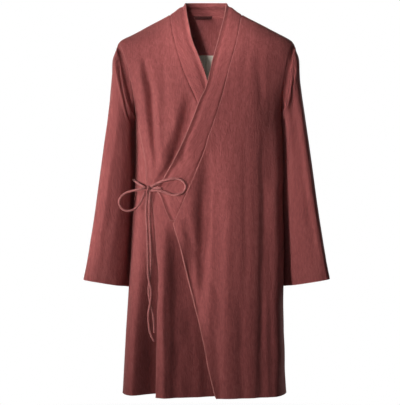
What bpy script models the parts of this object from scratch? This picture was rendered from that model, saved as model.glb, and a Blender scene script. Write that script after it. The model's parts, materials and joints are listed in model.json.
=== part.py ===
"""Long wrap coat with a crossed collar and a narrow tie, filled out as if worn.

Sizes are in millimetres and become metres when a piece is made. +Z is up, the front faces -Y and +X
is the wearer's left. The origin is the middle of the neck's base, level with the shoulders.
"""

import math

import bmesh
import bpy
from mathutils import Vector

METRES = 0.001

# Cloth
WALL = 1.5
BAND_WALL = 2.2
LINING_WALL = 1.0
SEAM_GAP = 0.35
WIDE_SEAM_GAP = 0.7
PLY_GAP = 0.4

# Heights of the whole coat
HEM = -1014.0
ARMPIT = -268.0
SHOULDER_TIP = -69.0
NECK_POINT = 5.0
NECK_RISE_AT_BACK = 6.0
WAIST = -462.0
COLLAR_END = -552.0

# Armhole, an upright oval seen from the side
ARMHOLE_TIP_X = {-1: 235.0, 1: 235.0}
ARMHOLE_PIT_X = {-1: 191.0, 1: 203.0}
ARMHOLE_HALF_DEPTH = 65.0
ARMHOLE_SCOOP = 9.0

# How far the over front stands off the under front, and how far the under front sinks below it
OVER_LIFT = 5.0
UNDER_DROP = 5.0

# Where the skirt opens: across these stretches the under front falls away behind the loose edge of
# the over front, and the side panel turns in behind the loose edge of the under front
GAPE_FROM_X = -112.0
GAPE_PAST_EDGE = 8.0
GAPE_EASED = 0.4
SLIT_FROM_SEAM = 14.0
SLIT_TO_X = -140.0
SLIT_UNDERLAP = 15.0

# Rings are superellipses
ROUNDNESS = 2.3

# How finely the cloth is divided
SKIRT_STEPS = 12
WAIST_STEPS = 8
ARMHOLE_STEPS = 10
SHOULDER_STEPS = 4
BACK_COLUMNS = 18
BAND_COLUMNS = 3
SLEEVE_RINGS = 14
ELBOW_RING = 7


class Table:
    """Rows of sizes with named columns, read smoothly along the first column."""

    def __init__(self, columns, *rows):
        rows = sorted(rows)
        self.keys = [row[0] for row in rows]
        self.columns = {name: [row[i] for row in rows] for i, name in enumerate(columns)}

    def __call__(self, name, at):
        keys, values = self.keys, self.columns[name]
        if at <= keys[0]:
            return values[0]
        if at >= keys[-1]:
            return values[-1]
        i = max(k for k in range(len(keys) - 1) if keys[k] <= at)
        span = keys[i + 1] - keys[i]
        t = (at - keys[i]) / span
        start = self.slope(values, i) * span
        end = self.slope(values, i + 1) * span
        return (
            (2 * t**3 - 3 * t**2 + 1) * values[i]
            + (t**3 - 2 * t**2 + t) * start
            + (3 * t**2 - 2 * t**3) * values[i + 1]
            + (t**3 - t**2) * end
        )

    def slope(self, values, i):
        """Slope at row i, flat where the values turn, so that the curve never overshoots a row."""
        if i in (0, len(values) - 1):
            i = min(i, len(values) - 2)
            return (values[i + 1] - values[i]) / (self.keys[i + 1] - self.keys[i])
        before = (values[i] - values[i - 1]) / (self.keys[i] - self.keys[i - 1])
        after = (values[i + 1] - values[i]) / (self.keys[i + 1] - self.keys[i])
        return 0.0 if before * after <= 0 else 2 * before * after / (before + after)


# Sections of the filled-out body of the coat: half-widths to each side, and depth before and behind
BODY = Table(
    ("height", "wearer_right", "wearer_left", "front", "back"),
    (HEM, 225, 217, 150, 146),
    (-900, 219, 210, 144, 140),
    (-737, 209, 205, 134, 130),
    (-604, 201, 204, 124, 118),
    (-517, 196, 204, 118, 110),
    (WAIST, 192, 204, 115, 107),
    (-400, 190, 204, 117, 112),
    (ARMPIT, ARMHOLE_PIT_X[-1], ARMHOLE_PIT_X[1], 123, 122),
    (-200, 215, 220, 117, 122),
    (-120, 228, 230, 97, 116),
    (SHOULDER_TIP, ARMHOLE_TIP_X[-1], ARMHOLE_TIP_X[1], 74, 104),
    (-49, 198, 200, 62, 98),
    (-32, 168, 169, 52, 92),
    (-16, 138, 138, 41, 85),
    (0, 107, 107, 31, 76),
    (NECK_POINT, 97, 97, 27, 73),
    (11, 97, 97, 22, 69),
    (38, 97, 97, -5, 60),
)

# How far back the under front and the side panel lie there
SKIRT_DEPTH = Table(
    ("height", "gape", "slit"),
    (WAIST, 0, 0),
    (COLLAR_END, 0, 12),
    (-600, 18, 16),
    (-650, 31, 22),
    (-740, 42, 46),
    (-850, 52, 74),
    (HEM, 60, 86),
)

# Front edges of the two fronts above their collar, and below it their loose edge down to the hem
OVER_FRONT_EDGE = Table(
    ("height", "x"),
    (NECK_POINT, 97),
    (-20, 91),
    (-67, 82),
    (-150, 60),
    (-230, 39),
    (-388, -16),
    (-488, -57),
    (-559, -87),
    (-632, -64),
    (-719, -43),
    (-861, -11),
    (-942, 8),
    (HEM, 26),
)
UNDER_FRONT_EDGE = Table(
    ("height", "x"),
    (NECK_POINT, -97),
    (-20, -94),
    (-59, -87),
    (-142, -64),
    (-230, -28),
    (-388, 20),
    (-488, 58),
    (-559, 88),
    (-700, 100),
    (HEM, 112),
)

# Seam from the armhole to the slit, and the front's loose edge along the slit
SIDE_SEAM = Table(
    ("height", "x"),
    (-181, -201),
    (-245, -190),
    (-334, -173),
    (-403, -161),
    (WAIST, -157),
    (-500, -144),
    (-616, -136),
    (-731, -132),
    (HEM, -134),
)

# The collar band along each front, by the height of its seam
OVER_COLLAR = Table(
    ("height", "edge_x", "edge_height"),
    (NECK_POINT, 56, 38),
    (-8, 52, 20),
    (-25, 49, -2),
    (-45, 42, -28),
    (-70, 34, -60),
    (-105, 24, -102),
    (-150, 13, -150),
    (-185, 4, -185),
    (-230, -18, -230),
    (-272, -33, -272),
    (-340, -61, -340),
    (-392, -86, -392),
    (-438, -112, -438),
    (-467, -130, -467),
    (-481, -121, -481),
    (-530, -103, -530),
    (COLLAR_END, -92, COLLAR_END),
)
UNDER_COLLAR = Table(
    ("height", "edge_x", "edge_height"),
    (NECK_POINT, -56, 38),
    (-8, -53, 20),
    (-25, -50, -2),
    (-45, -45, -28),
    (-70, -39, -60),
    (-105, -25, -102),
    (-150, -7, -150),
    (-185, 6, -185),
    (-230, 19, -230),
    (-272, 33, -272),
    (-340, 61, -340),
    (-392, 85, -392),
    (-438, 112, -438),
    (-467, 130, -467),
    (-481, 121, -481),
    (-530, 103, -530),
    (COLLAR_END, 93, COLLAR_END),
)
BACK_COLLAR_EDGE_Y = 55.0
BACK_COLLAR_EDGE_HEIGHT = 44.0

# Sleeves below the armhole: the outer and the inner line seen from the front, half the depth, and
# how far the inner line lies behind the middle, beside the body, and the outer line before it
SLEEVE_COLUMNS = (
    "ring", "out_x", "out_height", "in_x", "in_height", "half_depth", "in_back", "out_front"
)
SLEEVES = {
    "sleeve_right": (
        -1,
        Table(
            SLEEVE_COLUMNS,
            (1, 241, -84, 194.5, -274, 66, 2, 0),
            (2, 247, -112, 195.5, -284, 66, 8, 0),
            (3, 252, -150, 195.5, -300, 65, 15, 1),
            (4, 257, -205, 195, -326, 64, 21, 3),
            (5, 265, -275, 194.5, -366, 62, 24, 6),
            (6, 275, -345, 194.5, -412, 60, 24, 10),
            (7, 287, -440, 198, -484, 58, 22, 15),
            (8, 300, -535, 203, -564, 54, 20, 20),
            (9, 313, -616, 208, -640, 50, 18, 24),
            (10, 323, -675, 211, -697, 47, 16, 26),
            (11, 329, -709, 213, -728, 45, 15, 26),
        ),
    ),
    "sleeve_left": (
        1,
        Table(
            SLEEVE_COLUMNS,
            (1, 241, -84, 206.5, -274, 66, 2, 0),
            (2, 246, -112, 207.5, -284, 66, 8, 0),
            (3, 251, -150, 207.5, -300, 65, 15, 1),
            (4, 257, -205, 207, -326, 64, 21, 3),
            (5, 267, -275, 206.5, -366, 62, 24, 6),
            (6, 277, -345, 206.5, -412, 60, 24, 10),
            (7, 290, -440, 207, -484, 58, 22, 15),
            (8, 303, -535, 207.5, -564, 54, 20, 20),
            (9, 316, -616, 208, -640, 50, 18, 24),
            (10, 326, -675, 209, -697, 47, 16, 26),
            (11, 332, -706, 211, -727, 45, 15, 26),
        ),
    ),
}

# Largest folds, a row for each, with a depth below zero for a trough. The last column says whether
# it keeps its depth down to the hem. The columns are:
# top x, top height, low x, low height, half width, depth, to the hem
FRONT_FOLDS = (
    (-150, -195, -124, -385, 10, -4.5, False),
    (138, -265, 124, -850, 12, -4, False),
    (-10, -370, -22, -740, 13, -4, False),
    (40, -480, 62, -1014, 26, 3, True),
    (110, -600, 128, -1014, 22, -4, True),
    (-84, -560, -82, -1014, 20, -6, True),
    (168, -520, 176, -1014, 16, 3, True),
)
BACK_FOLDS = (
    (-96, -330, -128, -1014, 24, -6, True),
    (-30, -480, -44, -1014, 26, 4, True),
    (88, -300, 112, -1014, 24, -6, True),
    (30, -560, 34, -1014, 20, -4, True),
    (150, -420, 166, -1014, 18, 4, True),
)

# Inside the back: the facing and the half lining, which has one pleat down its middle
FACING_HALF_WIDTH = 84.0
FACING_LOW = -94.0
FACING_TOP_GAP = 2.0
LINING_MARGIN_COLUMNS = 4
LINING_LOW = -450.0
PLEAT_DEPTH = 4.0

# Hanger loop, a flat tab along the inside of the neck seam
LOOP_FROM_X = -28.0
LOOP_TO_X = 17.0
LOOP_WIDTH = 7.0
LOOP_WALL = 1.2
LOOP_SPRING = 2.5

# Ties: each route runs by hand from place to place, clear of the cloth behind it
TIE_DIAMETER = 6.0
TIE_POINT_SPACING = 15.0
KNOT = (-152.0, -93.0, -464.0)
KNOT_RADII = (7.0, 6.0, 8.0)
TIE_ROUTES = {
    "tie_side": (
        (-194.0, -12, -438),
        (-191.5, -36, -443),
        (-181, -60, -450),
        (-170, -76, -456),
        (-159.2, -87.6, -464.2),
    ),
    "tie_front": ((-118, -106.6, -463), (-129, -102, -463), (-138, -96, -463.5), (-142.7, -90.5, -464)),
    "bow_loop_outer": (
        (-159.8, -95, -462),
        (-174, -96, -466),
        (-190, -93, -469),
        (-209, -88, -474),
        (-223, -84, -483),
        (-230.5, -82, -497),
        (-227.5, -81, -512),
        (-219, -81, -520),
        (-206, -82, -523.5),
        (-190, -84, -518),
        (-177, -88, -506),
        (-168, -92, -489),
        (-161, -95, -471),
    ),
    "bow_loop_inner": (
        (-147.3, -97.4, -459.9),
        (-126, -110, -449),
        (-106, -117, -442),
        (-86, -122, -438),
        (-70, -124, -440),
        (-59, -124.5, -447),
        (-54, -124, -460),
        (-60, -123.5, -473),
        (-74, -122, -480),
        (-87, -119.5, -481),
        (-101, -115.5, -477),
        (-118, -110, -471),
        (-133, -104, -469),
        (-146.8, -98.2, -469),
    ),
    "tie_tail_long": (
        (-155.2, -92.5, -472.3),
        (-159, -88, -515),
        (-157, -91, -560),
        (-155, -95.5, -606),
        (-154, -100, -652),
        (-152, -112, -697),
        (-145, -118, -731),
        (-147, -119, -764),
        (-152, -117, -795),
        (-150, -119, -828),
        (-145, -122, -849),
        (-136, -125, -866),
    ),
    "tie_tail_short": (
        (-148.8, -92.5, -472.3),
        (-150, -89.6, -515),
        (-149, -93, -556),
        (-147, -98, -606),
        (-145.6, -102.6, -652),
        (-148, -105, -697),
        (-152, -105.6, -731),
        (-147, -110.8, -766),
        (-140, -116.8, -795),
        (-137, -120, -820),
        (-136.5, -122, -843),
    ),
}


def smooth(value, low, high):
    """0 below low and 1 above high, with soft ends. Low may be the larger of the two."""
    t = min(1.0, max(0.0, (value - low) / (high - low)))
    return t * t * (3 - 2 * t)


def blend(start, end, t):
    return start + (end - start) * t


def signed_power(value, power):
    return math.copysign(abs(value) ** power, value)


def armhole(side, turn):
    """Point of the armhole seam. A turn of 0 is the shoulder tip, 90 the front and 180 the armpit."""
    rise = math.cos(math.radians(turn))
    reach = math.sin(math.radians(turn))
    middle = (SHOULDER_TIP + ARMPIT) / 2
    half_height = (SHOULDER_TIP - ARMPIT) / 2
    x = blend(ARMHOLE_PIT_X[side], ARMHOLE_TIP_X[side], (1 + rise) / 2) - ARMHOLE_SCOOP * reach**2
    return Vector((side * x, -ARMHOLE_HALF_DEPTH * reach, middle + half_height * rise))


def armhole_at(side, height):
    """Front point of the armhole seam at a height between the armpit and the shoulder tip."""
    middle = (SHOULDER_TIP + ARMPIT) / 2
    half_height = (SHOULDER_TIP - ARMPIT) / 2
    rise = min(1.0, max(-1.0, (height - middle) / half_height))
    return armhole(side, math.degrees(math.acos(rise)))


def section(side, height, behind):
    """Half-width and depth of the section on one side, and the angle at which its cloth ends."""
    depth = BODY("back" if behind else "front", height)
    if not ARMPIT < height < SHOULDER_TIP:
        return BODY("wearer_left" if side > 0 else "wearer_right", height), depth, 90.0
    seam = armhole_at(side, height)
    end = math.acos((abs(seam.y) / depth) ** (ROUNDNESS / 2))
    return abs(seam.x) / math.sin(end) ** (2 / ROUNDNESS), depth, math.degrees(end)


def body_point(angle, height):
    """Point of the coat's body. The angle is 0 at the front, 90 at the wearer's left, 180 behind."""
    side = 1 if angle >= 0 else -1
    width, depth, _ = section(side, height, abs(angle) > 90)
    across = math.sin(math.radians(angle))
    along = math.cos(math.radians(angle))
    power = 2 / ROUNDNESS
    return Vector((width * signed_power(across, power), -depth * signed_power(along, power), height))


def body_normal(angle, height):
    """Outward direction there. Near the neck seam it is measured just below."""
    above = height + 2 if height < NECK_POINT - 4 else height
    around = body_point(angle + 0.5, height) - body_point(angle - 0.5, height)
    upward = body_point(angle, above) - body_point(angle, above - 4)
    return around.cross(upward).normalized()


def angle_at(x, height, behind=False):
    """Angle at which the section has this x."""
    side = 1 if x >= 0 else -1
    width, _, _ = section(side, height, behind)
    angle = side * math.degrees(math.asin(min(1.0, abs(x) / width) ** (ROUNDNESS / 2)))
    return side * 180 - angle if behind else angle


def edge_angle(side, height, behind=False):
    """Angle at which a panel ends: the side seam, the armhole or the shoulder seam."""
    _, _, end = section(side, height, behind)
    return side * (180 - end if behind else end)


def fold_lift(folds, x, height):
    """Height of the folds at one place."""
    total = 0.0
    for top_x, top_height, low_x, low_height, half_width, depth, to_hem in folds:
        t = (top_height - height) / (top_height - low_height)
        if not 0 < t <= 1:
            continue
        strength = smooth(t, 0, 0.6) if to_hem else math.sin(math.pi * t) ** 0.8
        middle = blend(top_x, low_x, t)
        total += depth * strength * math.exp(-(((x - middle) / half_width) ** 2))
    return total


def over_lift(x, height):
    """The over front stands off the under front, but not at the side seam or near the shoulder."""
    return OVER_LIFT * smooth(height, -80, -170) * (1 - smooth(x, 125, 192))


def under_lift(x, height):
    """The under front sinks where the over front covers it."""
    cover = OVER_FRONT_EDGE("x", height) if height < COLLAR_END else OVER_COLLAR("edge_x", height)
    return -UNDER_DROP * smooth(x, cover + 2, cover + 34) * smooth(height, -150, -215)


def no_lift(x, height):
    return 0.0


def gape_depth(x, height):
    """How far the under front lies back in the skirt."""
    behind_edge = OVER_FRONT_EDGE("x", height) + GAPE_PAST_EDGE
    eased = 1 - GAPE_EASED * smooth(x, behind_edge, UNDER_FRONT_EDGE("x", height))
    return SKIRT_DEPTH("gape", height) * smooth(x, GAPE_FROM_X, behind_edge) * eased


def slit_depth(x, height):
    """How far the side panel lies back beside the slit."""
    start = SLIT_FROM_SEAM - BODY("wearer_right", height)
    return SKIRT_DEPTH("slit", height) * smooth(x, start, SLIT_TO_X)


def placed(angle, height, lift, folds):
    """Outer point and outward direction of the cloth."""
    point = body_point(angle, height)
    normal = body_normal(angle, height)
    return point + normal * (lift(point.x, height) + fold_lift(folds, point.x, height)), normal


def placed_back(angle, height, lift, folds, depth):
    """The same for a panel that falls away from the body's form, steeply in places."""

    def point_at(angle, height):
        point, _ = placed(angle, height, lift, folds)
        return point + Vector((0, depth(point.x, height), 0))

    point, plain = placed(angle, height, lift, folds)
    if height > WAIST:
        return point, plain
    around = point_at(angle + 0.5, height) - point_at(angle - 0.5, height)
    upward = point_at(angle, height + 2) - point_at(angle, height - 2)
    return point_at(angle, height), around.cross(upward).normalized()


def row_heights(top, low=HEM):
    """The heights of the rows of points that all panels share, from low to top."""
    heights = [blend(HEM, COLLAR_END, i / SKIRT_STEPS) for i in range(SKIRT_STEPS)]
    heights += [blend(COLLAR_END, ARMPIT, i / WAIST_STEPS) for i in range(WAIST_STEPS)]
    heights += [armhole(1, 180 - 180 * i / ARMHOLE_STEPS).z for i in range(ARMHOLE_STEPS + 1)]
    above = range(1, SHOULDER_STEPS + 1)
    heights += [blend(SHOULDER_TIP, NECK_POINT, i / SHOULDER_STEPS) for i in above]
    return [height for height in heights if low - 0.01 <= height <= top + 0.01]


def cloth(name, surface, columns, rows, wall, gaps=(0, 0, 0, 0), closed=False):
    """A wall of cloth through surface(column, row), which gives its outer point and direction.

    The gaps pull the first and last column and the first and last row in by so many millimetres.
    """
    shape = bmesh.new()
    spot = shape.verts.layers.float_vector.new("spot")
    bmesh.ops.create_grid(shape, x_segments=columns, y_segments=rows, size=0.5)
    for vert in shape.verts:
        column = round((vert.co.x + 0.5) * columns)
        row = round((vert.co.y + 0.5) * rows)
        vert[spot] = (column, row, 0)
        if closed:
            turn = 2 * math.pi * column / columns
            vert.co = (math.cos(turn), math.sin(turn), row)
    if closed:
        bmesh.ops.remove_doubles(shape, verts=shape.verts, dist=1e-5)
    grown = bmesh.ops.extrude_face_region(shape, geom=shape.faces[:], use_keep_orig=True)
    inner = {item for item in grown["geom"] if isinstance(item, bmesh.types.BMVert)}
    points = {}
    for vert in shape.verts:
        column, row = round(vert[spot].x), round(vert[spot].y)
        if (column, row) not in points:
            points[column, row] = seamed(surface, column, row, columns, rows, gaps)
        point, normal = points[column, row]
        vert.co = (point - normal * (wall if vert in inner else 0.0)) * METRES
    bmesh.ops.recalc_face_normals(shape, faces=shape.faces)
    return add_mesh(name, shape)


def seamed(surface, column, row, columns, rows, gaps):
    """Point and direction at one place of the grid, pulled in where it lies on a seam."""
    point, normal = surface(column, row)
    steps = []
    if column == 0 and gaps[0]:
        steps.append((surface(1, row)[0], gaps[0]))
    if column == columns and gaps[1]:
        steps.append((surface(columns - 1, row)[0], gaps[1]))
    if row == 0 and gaps[2]:
        steps.append((surface(column, 1)[0], gaps[2]))
    if row == rows and gaps[3]:
        steps.append((surface(column, rows - 1)[0], gaps[3]))
    for neighbour, gap in steps:
        point = point + (neighbour - point).normalized() * gap
    return point, normal


def add_mesh(name, shape):
    mesh = bpy.data.meshes.new(name)
    shape.to_mesh(mesh)
    shape.free()
    mesh.shade_smooth()
    made = bpy.data.objects.new(name, mesh)
    bpy.data.collections[COAT].objects.link(made)
    return made


def clear_scene():
    for old in list(bpy.data.objects):
        bpy.data.objects.remove(old, do_unlink=True)
    collection = bpy.data.collections.new(COAT)
    bpy.context.scene.collection.children.link(collection)


def dye(objects, name, colour, roughness):
    material = bpy.data.materials.new(name)
    material.use_nodes = True
    shader = material.node_tree.nodes["Principled BSDF"]
    shader.inputs["Base Color"].default_value = (*colour, 1)
    shader.inputs["Roughness"].default_value = roughness
    shader.inputs["Metallic"].default_value = 0
    material.diffuse_color = (*colour, 1)
    for made in objects:
        made.data.materials.clear()
        made.data.materials.append(material)


def make_over_front():
    heights = row_heights(NECK_POINT)
    columns = 12

    def surface(column, row):
        height = heights[row]
        start = angle_at(OVER_FRONT_EDGE("x", height), height)
        angle = blend(start, edge_angle(1, height), column / columns)
        return placed(angle, height, over_lift, FRONT_FOLDS)

    gap = SEAM_GAP / 2
    return cloth("over_front", surface, columns, len(heights) - 1, WALL, (gap, gap, 0, gap))


def make_under_front():
    heights = row_heights(NECK_POINT)
    columns = 11

    def surface(column, row):
        height = heights[row]
        end = angle_at(UNDER_FRONT_EDGE("x", height), height)
        if height > SIDE_SEAM.keys[-1]:
            start = edge_angle(-1, height)
        else:
            start = angle_at(SIDE_SEAM("x", height), height)
        angle = blend(start, end, column / columns)
        return placed_back(angle, height, under_lift, FRONT_FOLDS, gape_depth)

    gap = SEAM_GAP / 2
    return cloth("under_front", surface, columns, len(heights) - 1, WALL, (gap, gap, 0, gap))


def make_side_panel():
    heights = row_heights(SIDE_SEAM.keys[-1])
    columns = 5

    def surface(column, row):
        height = heights[row]
        underlap = SLIT_UNDERLAP * smooth(height, -500, -600)
        end = angle_at(SIDE_SEAM("x", height) + underlap, height)
        angle = blend(edge_angle(-1, height), end, column / columns)
        return placed_back(angle, height, no_lift, FRONT_FOLDS, slit_depth)

    gap = SEAM_GAP / 2
    return cloth("side_panel", surface, columns, len(heights) - 1, WALL, (gap, gap, 0, gap))


def neckline_height(angle):
    """Height of the back's neck seam, which rises a little behind the neck."""
    return NECK_POINT + NECK_RISE_AT_BACK * math.cos(math.radians(angle)) ** 2


def back_height(angle, height):
    """Above the shoulder tip the rows stretch so that the top one follows the neck seam."""
    share = smooth(height, SHOULDER_TIP, NECK_POINT)
    return height + (neckline_height(angle) - NECK_POINT) * share


def back_cloth(column, row):
    """Outer point and direction at one place of the back's grid."""
    height = row_heights(NECK_POINT)[row]
    left = edge_angle(1, height, behind=True)
    right = 360 + edge_angle(-1, height, behind=True)
    angle = blend(left, right, column / BACK_COLUMNS)
    if angle > 180:
        angle -= 360
    return placed(angle, back_height(angle, height), no_lift, BACK_FOLDS)


def make_back():
    rows = len(row_heights(NECK_POINT)) - 1
    gap = SEAM_GAP / 2
    return cloth("back", back_cloth, BACK_COLUMNS, rows, WALL, (gap, gap, 0, WIDE_SEAM_GAP / 2))


def on_back(column, row):
    """Point and direction on the back's flat facets, at any part of a column or a row."""
    rows = len(row_heights(NECK_POINT)) - 1
    i, k = min(int(column), BACK_COLUMNS - 1), min(int(row), rows - 1)
    corners = [back_cloth(i + a, k + b) for b in (0, 1) for a in (0, 1)]
    found = []
    for part in (0, 1):
        low = corners[0][part].lerp(corners[1][part], column - i)
        high = corners[2][part].lerp(corners[3][part], column - i)
        found.append(low.lerp(high, row - k))
    return found[0], found[1].normalized()


def back_row(height):
    """Row of the back's grid at this height, with its fraction."""
    heights = row_heights(NECK_POINT)
    i = max(k for k in range(len(heights) - 1) if heights[k] <= height)
    return i + (height - heights[i]) / (heights[i + 1] - heights[i])


def back_column(x, row):
    """Column of the back's grid at this x, with its fraction. Columns run from +X to -X."""
    line = [on_back(column, row)[0].x for column in range(BACK_COLUMNS + 1)]
    i = max(k for k in range(BACK_COLUMNS) if line[k] >= x)
    return i + (line[i] - x) / (line[i] - line[i + 1])


def make_back_facing():
    """The coat's own cloth inside the back of the neck."""
    rows = [back_row(FACING_LOW)] + [back_row(h) for h in row_heights(NECK_POINT, -90)]
    columns = 10

    def surface(column, row):
        x = FACING_HALF_WIDTH * (1 - 2 * column / columns)
        point, normal = on_back(back_column(x, rows[row]), rows[row])
        return point - normal * (WALL + PLY_GAP), normal

    gaps = (0, 0, SEAM_GAP / 2, FACING_TOP_GAP)
    return cloth("back_facing", surface, columns, len(rows) - 1, LINING_WALL, gaps)


def make_back_lining():
    """The pale half lining below the facing, with one pleat down its middle."""
    heights = row_heights(FACING_LOW, LINING_LOW)
    rows = [back_row(h) for h in heights] + [back_row(FACING_LOW)]
    columns = BACK_COLUMNS - 2 * LINING_MARGIN_COLUMNS
    pleat = {columns // 2: PLEAT_DEPTH, columns // 2 - 1: PLEAT_DEPTH / 3}

    def surface(column, row):
        point, normal = on_back(column + LINING_MARGIN_COLUMNS, rows[row])
        return point - normal * (WALL + PLY_GAP + pleat.get(column, 0.0)), normal

    gaps = (0, 0, 0, SEAM_GAP / 2)
    return cloth("back_lining", surface, columns, len(rows) - 1, LINING_WALL, gaps)


def make_hanger_loop():
    """A flat tab along the inside of the neck seam, a little off the facing in its middle."""
    columns = 8
    off_back = WALL + LINING_WALL + 3 * PLY_GAP
    top_row = len(row_heights(NECK_POINT)) - 1
    row_height = (NECK_POINT - SHOULDER_TIP) / SHOULDER_STEPS

    def surface(column, row):
        t = column / columns
        at = top_row - (1.5 + LOOP_WIDTH * (1 - row)) / row_height
        point, normal = on_back(back_column(blend(LOOP_TO_X, LOOP_FROM_X, t), at), at)
        spring = LOOP_SPRING * math.sin(math.pi * t) ** 0.5
        return point - normal * (off_back + spring), normal

    return cloth("hanger_loop", surface, columns, 1, LOOP_WALL)


def neck_points(angle):
    """Seam and top edge of the collar round the back of the neck."""
    height = neckline_height(angle)
    seam = body_point(angle, height)
    back = -math.cos(math.radians(angle))
    edge_x, edge_height = OVER_COLLAR("edge_x", NECK_POINT), OVER_COLLAR("edge_height", NECK_POINT)
    edge = Vector(
        (
            edge_x * math.sin(math.radians(angle)),
            blend(-BODY("front", edge_height), BACK_COLLAR_EDGE_Y, back),
            blend(edge_height, BACK_COLLAR_EDGE_HEIGHT, back),
        )
    )
    return seam, edge


def band_points(collar, seam_edge, lift, height):
    """Seam and free edge of the collar at one height of its seam."""
    seam_angle = angle_at(seam_edge("x", height), height)
    seam, _ = placed(seam_angle, height, lift, FRONT_FOLDS)
    edge_x, edge_height = collar("edge_x", height), collar("edge_height", height)
    return seam, on_front(edge_x, edge_height, lift)


def on_front(x, height, lift):
    """Point before the body at this x, also above the shoulders, where the collar stands free."""
    if height < SHOULDER_TIP:
        return placed(angle_at(x, height), height, lift, FRONT_FOLDS)[0]
    point = Vector((x, -BODY("front", height), height))
    nearby = placed(angle_at(x, SHOULDER_TIP), SHOULDER_TIP, lift, FRONT_FOLDS)[0]
    level = Vector((x, -BODY("front", SHOULDER_TIP), SHOULDER_TIP))
    return point + (nearby - level) * (1 - smooth(height, SHOULDER_TIP, 38))


def collar_rows():
    """Points across the whole collar band, from its edge to its seam, row after row along it.

    It starts at the low end of the over front, goes up and round the neck, and ends at the low end
    of the under front. Also gives the two rows where it meets the shoulder seams.
    """
    heights = row_heights(NECK_POINT, COLLAR_END)
    over = [front_band(OVER_COLLAR, OVER_FRONT_EDGE, over_lift, height) for height in heights]
    under = [front_band(UNDER_COLLAR, UNDER_FRONT_EDGE, under_lift, height) for height in heights]
    behind = [back_band(i) for i in range(1, BACK_COLUMNS)]
    first, last = len(over) - 1, len(over) - 1 + BACK_COLUMNS
    return over + behind + under[::-1], first, last


def front_band(collar, seam_edge, lift, height):
    seam, edge = band_points(collar, seam_edge, lift, height)
    points = []
    for column in range(BAND_COLUMNS + 1):
        point = edge.lerp(seam, column / BAND_COLUMNS)
        if 0 < column < BAND_COLUMNS:
            draped = on_front(point.x, point.z, lift)
            point = point.lerp(draped, smooth(height, -25, -92))
        points.append(point)
    return points


def back_band(step):
    angle = 90 + 180 * step / BACK_COLUMNS
    seam, edge = neck_points(angle - 360 if angle > 180 else angle)
    return [edge.lerp(seam, column / BAND_COLUMNS) for column in range(BAND_COLUMNS + 1)]


def make_collar():
    """One long band, cut in three at the shoulder seams."""
    band, first, last = collar_rows()
    end = len(band) - 1

    def whole(column, row):
        across = band[row][min(column + 1, BAND_COLUMNS)] - band[row][max(column - 1, 0)]
        along = band[min(row + 1, end)][column] - band[max(row - 1, 0)][column]
        return band[row][column], across.cross(along).normalized()

    gap = SEAM_GAP / 2
    lengths = {
        "collar_over": (0, first, (0, gap, 0, gap)),
        "collar_back": (first, last, (0, WIDE_SEAM_GAP / 2, gap, gap)),
        "collar_under": (last, end, (0, gap, gap, 0)),
    }
    made = []
    for name, (start, stop, gaps) in lengths.items():

        def surface(column, row, start=start):
            return whole(column, start + row)

        made.append(cloth(name, surface, BAND_COLUMNS, stop - start, BAND_WALL, gaps))
    return made


def sleeve_ring(side, table, ring, turn):
    """Outer point of a sleeve. Ring 0 is the armhole, and the other rings follow the table."""
    if ring <= 0:
        return armhole(side, turn)
    rise = signed_power(math.cos(math.radians(turn)), 0.93)
    reach = signed_power(math.sin(math.radians(turn)), 0.93)
    share = (1 + rise) / 2
    x = blend(table("in_x", ring), table("out_x", ring), share)
    height = blend(table("in_height", ring), table("out_height", ring), share)
    middle = blend(table("in_back", ring), -table("out_front", ring), share)
    point = Vector((side * x, middle - table("half_depth", ring) * reach, height))
    return armhole(side, turn).lerp(point, smooth(ring, 0, 1) if ring < 1 else 1.0)


def make_sleeve(name, side, table):
    """A sleeve in two lengths, from the armhole to above the elbow and from there to the cuff."""
    columns = 2 * ARMHOLE_STEPS
    last = table.keys[-1]

    def grid(column, row):
        return sleeve_ring(side, table, last * row / SLEEVE_RINGS, 360 * column / columns)

    def whole(column, row):
        around = grid(column + 1, row) - grid(column - 1, row)
        down = grid(column, min(row + 1, SLEEVE_RINGS)) - grid(column, max(row - 1, 0))
        return grid(column, row), around.cross(down).normalized() * side

    def lower(column, row):
        return whole(column, ELBOW_RING + row)

    gap = WIDE_SEAM_GAP / 2
    low_rows = SLEEVE_RINGS - ELBOW_RING
    return [
        cloth(name + "_upper", whole, columns, ELBOW_RING, WALL, (0, 0, SEAM_GAP, gap), closed=True),
        cloth(name + "_lower", lower, columns, low_rows, WALL, (0, 0, gap, 0), closed=True),
    ]


def smooth_route(points, spacing):
    """Points at even steps along a smooth curve through the given ones."""
    dense = []
    for i in range(len(points) - 1):
        before = points[i - 1] if i else points[0] * 2 - points[1]
        after = points[i + 2] if i + 2 < len(points) else points[-1] * 2 - points[-2]
        start, end = points[i], points[i + 1]
        for k in range(12):
            t = k / 12
            dense.append(
                0.5
                * (
                    2 * start
                    + (end - before) * t
                    + (2 * before - 5 * start + 4 * end - after) * t**2
                    + (3 * start - before - 3 * end + after) * t**3
                )
            )
    dense.append(points[-1])
    lengths = [0.0]
    for start, end in zip(dense, dense[1:]):
        lengths.append(lengths[-1] + (end - start).length)
    count = max(3, round(lengths[-1] / spacing))
    route = []
    for k in range(count + 1):
        goal = lengths[-1] * k / count
        i = min(max(j for j in range(len(lengths)) if lengths[j] <= goal + 1e-9), len(dense) - 2)
        t = (goal - lengths[i]) / (lengths[i + 1] - lengths[i])
        route.append(dense[i].lerp(dense[i + 1], t))
    return route


def make_tie(name, places):
    route = smooth_route([Vector(place) for place in places], TIE_POINT_SPACING)
    curve = bpy.data.curves.new(name, "CURVE")
    curve.dimensions = "3D"
    curve.bevel_depth = TIE_DIAMETER / 2 * METRES
    curve.bevel_resolution = 2
    curve.use_fill_caps = True
    spline = curve.splines.new("POLY")
    spline.points.add(len(route) - 1)
    for spot, point in zip(spline.points, route):
        spot.co = (*(point * METRES), 1)
    made = bpy.data.objects.new(name, curve)
    bpy.data.collections[COAT].objects.link(made)
    return made


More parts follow.
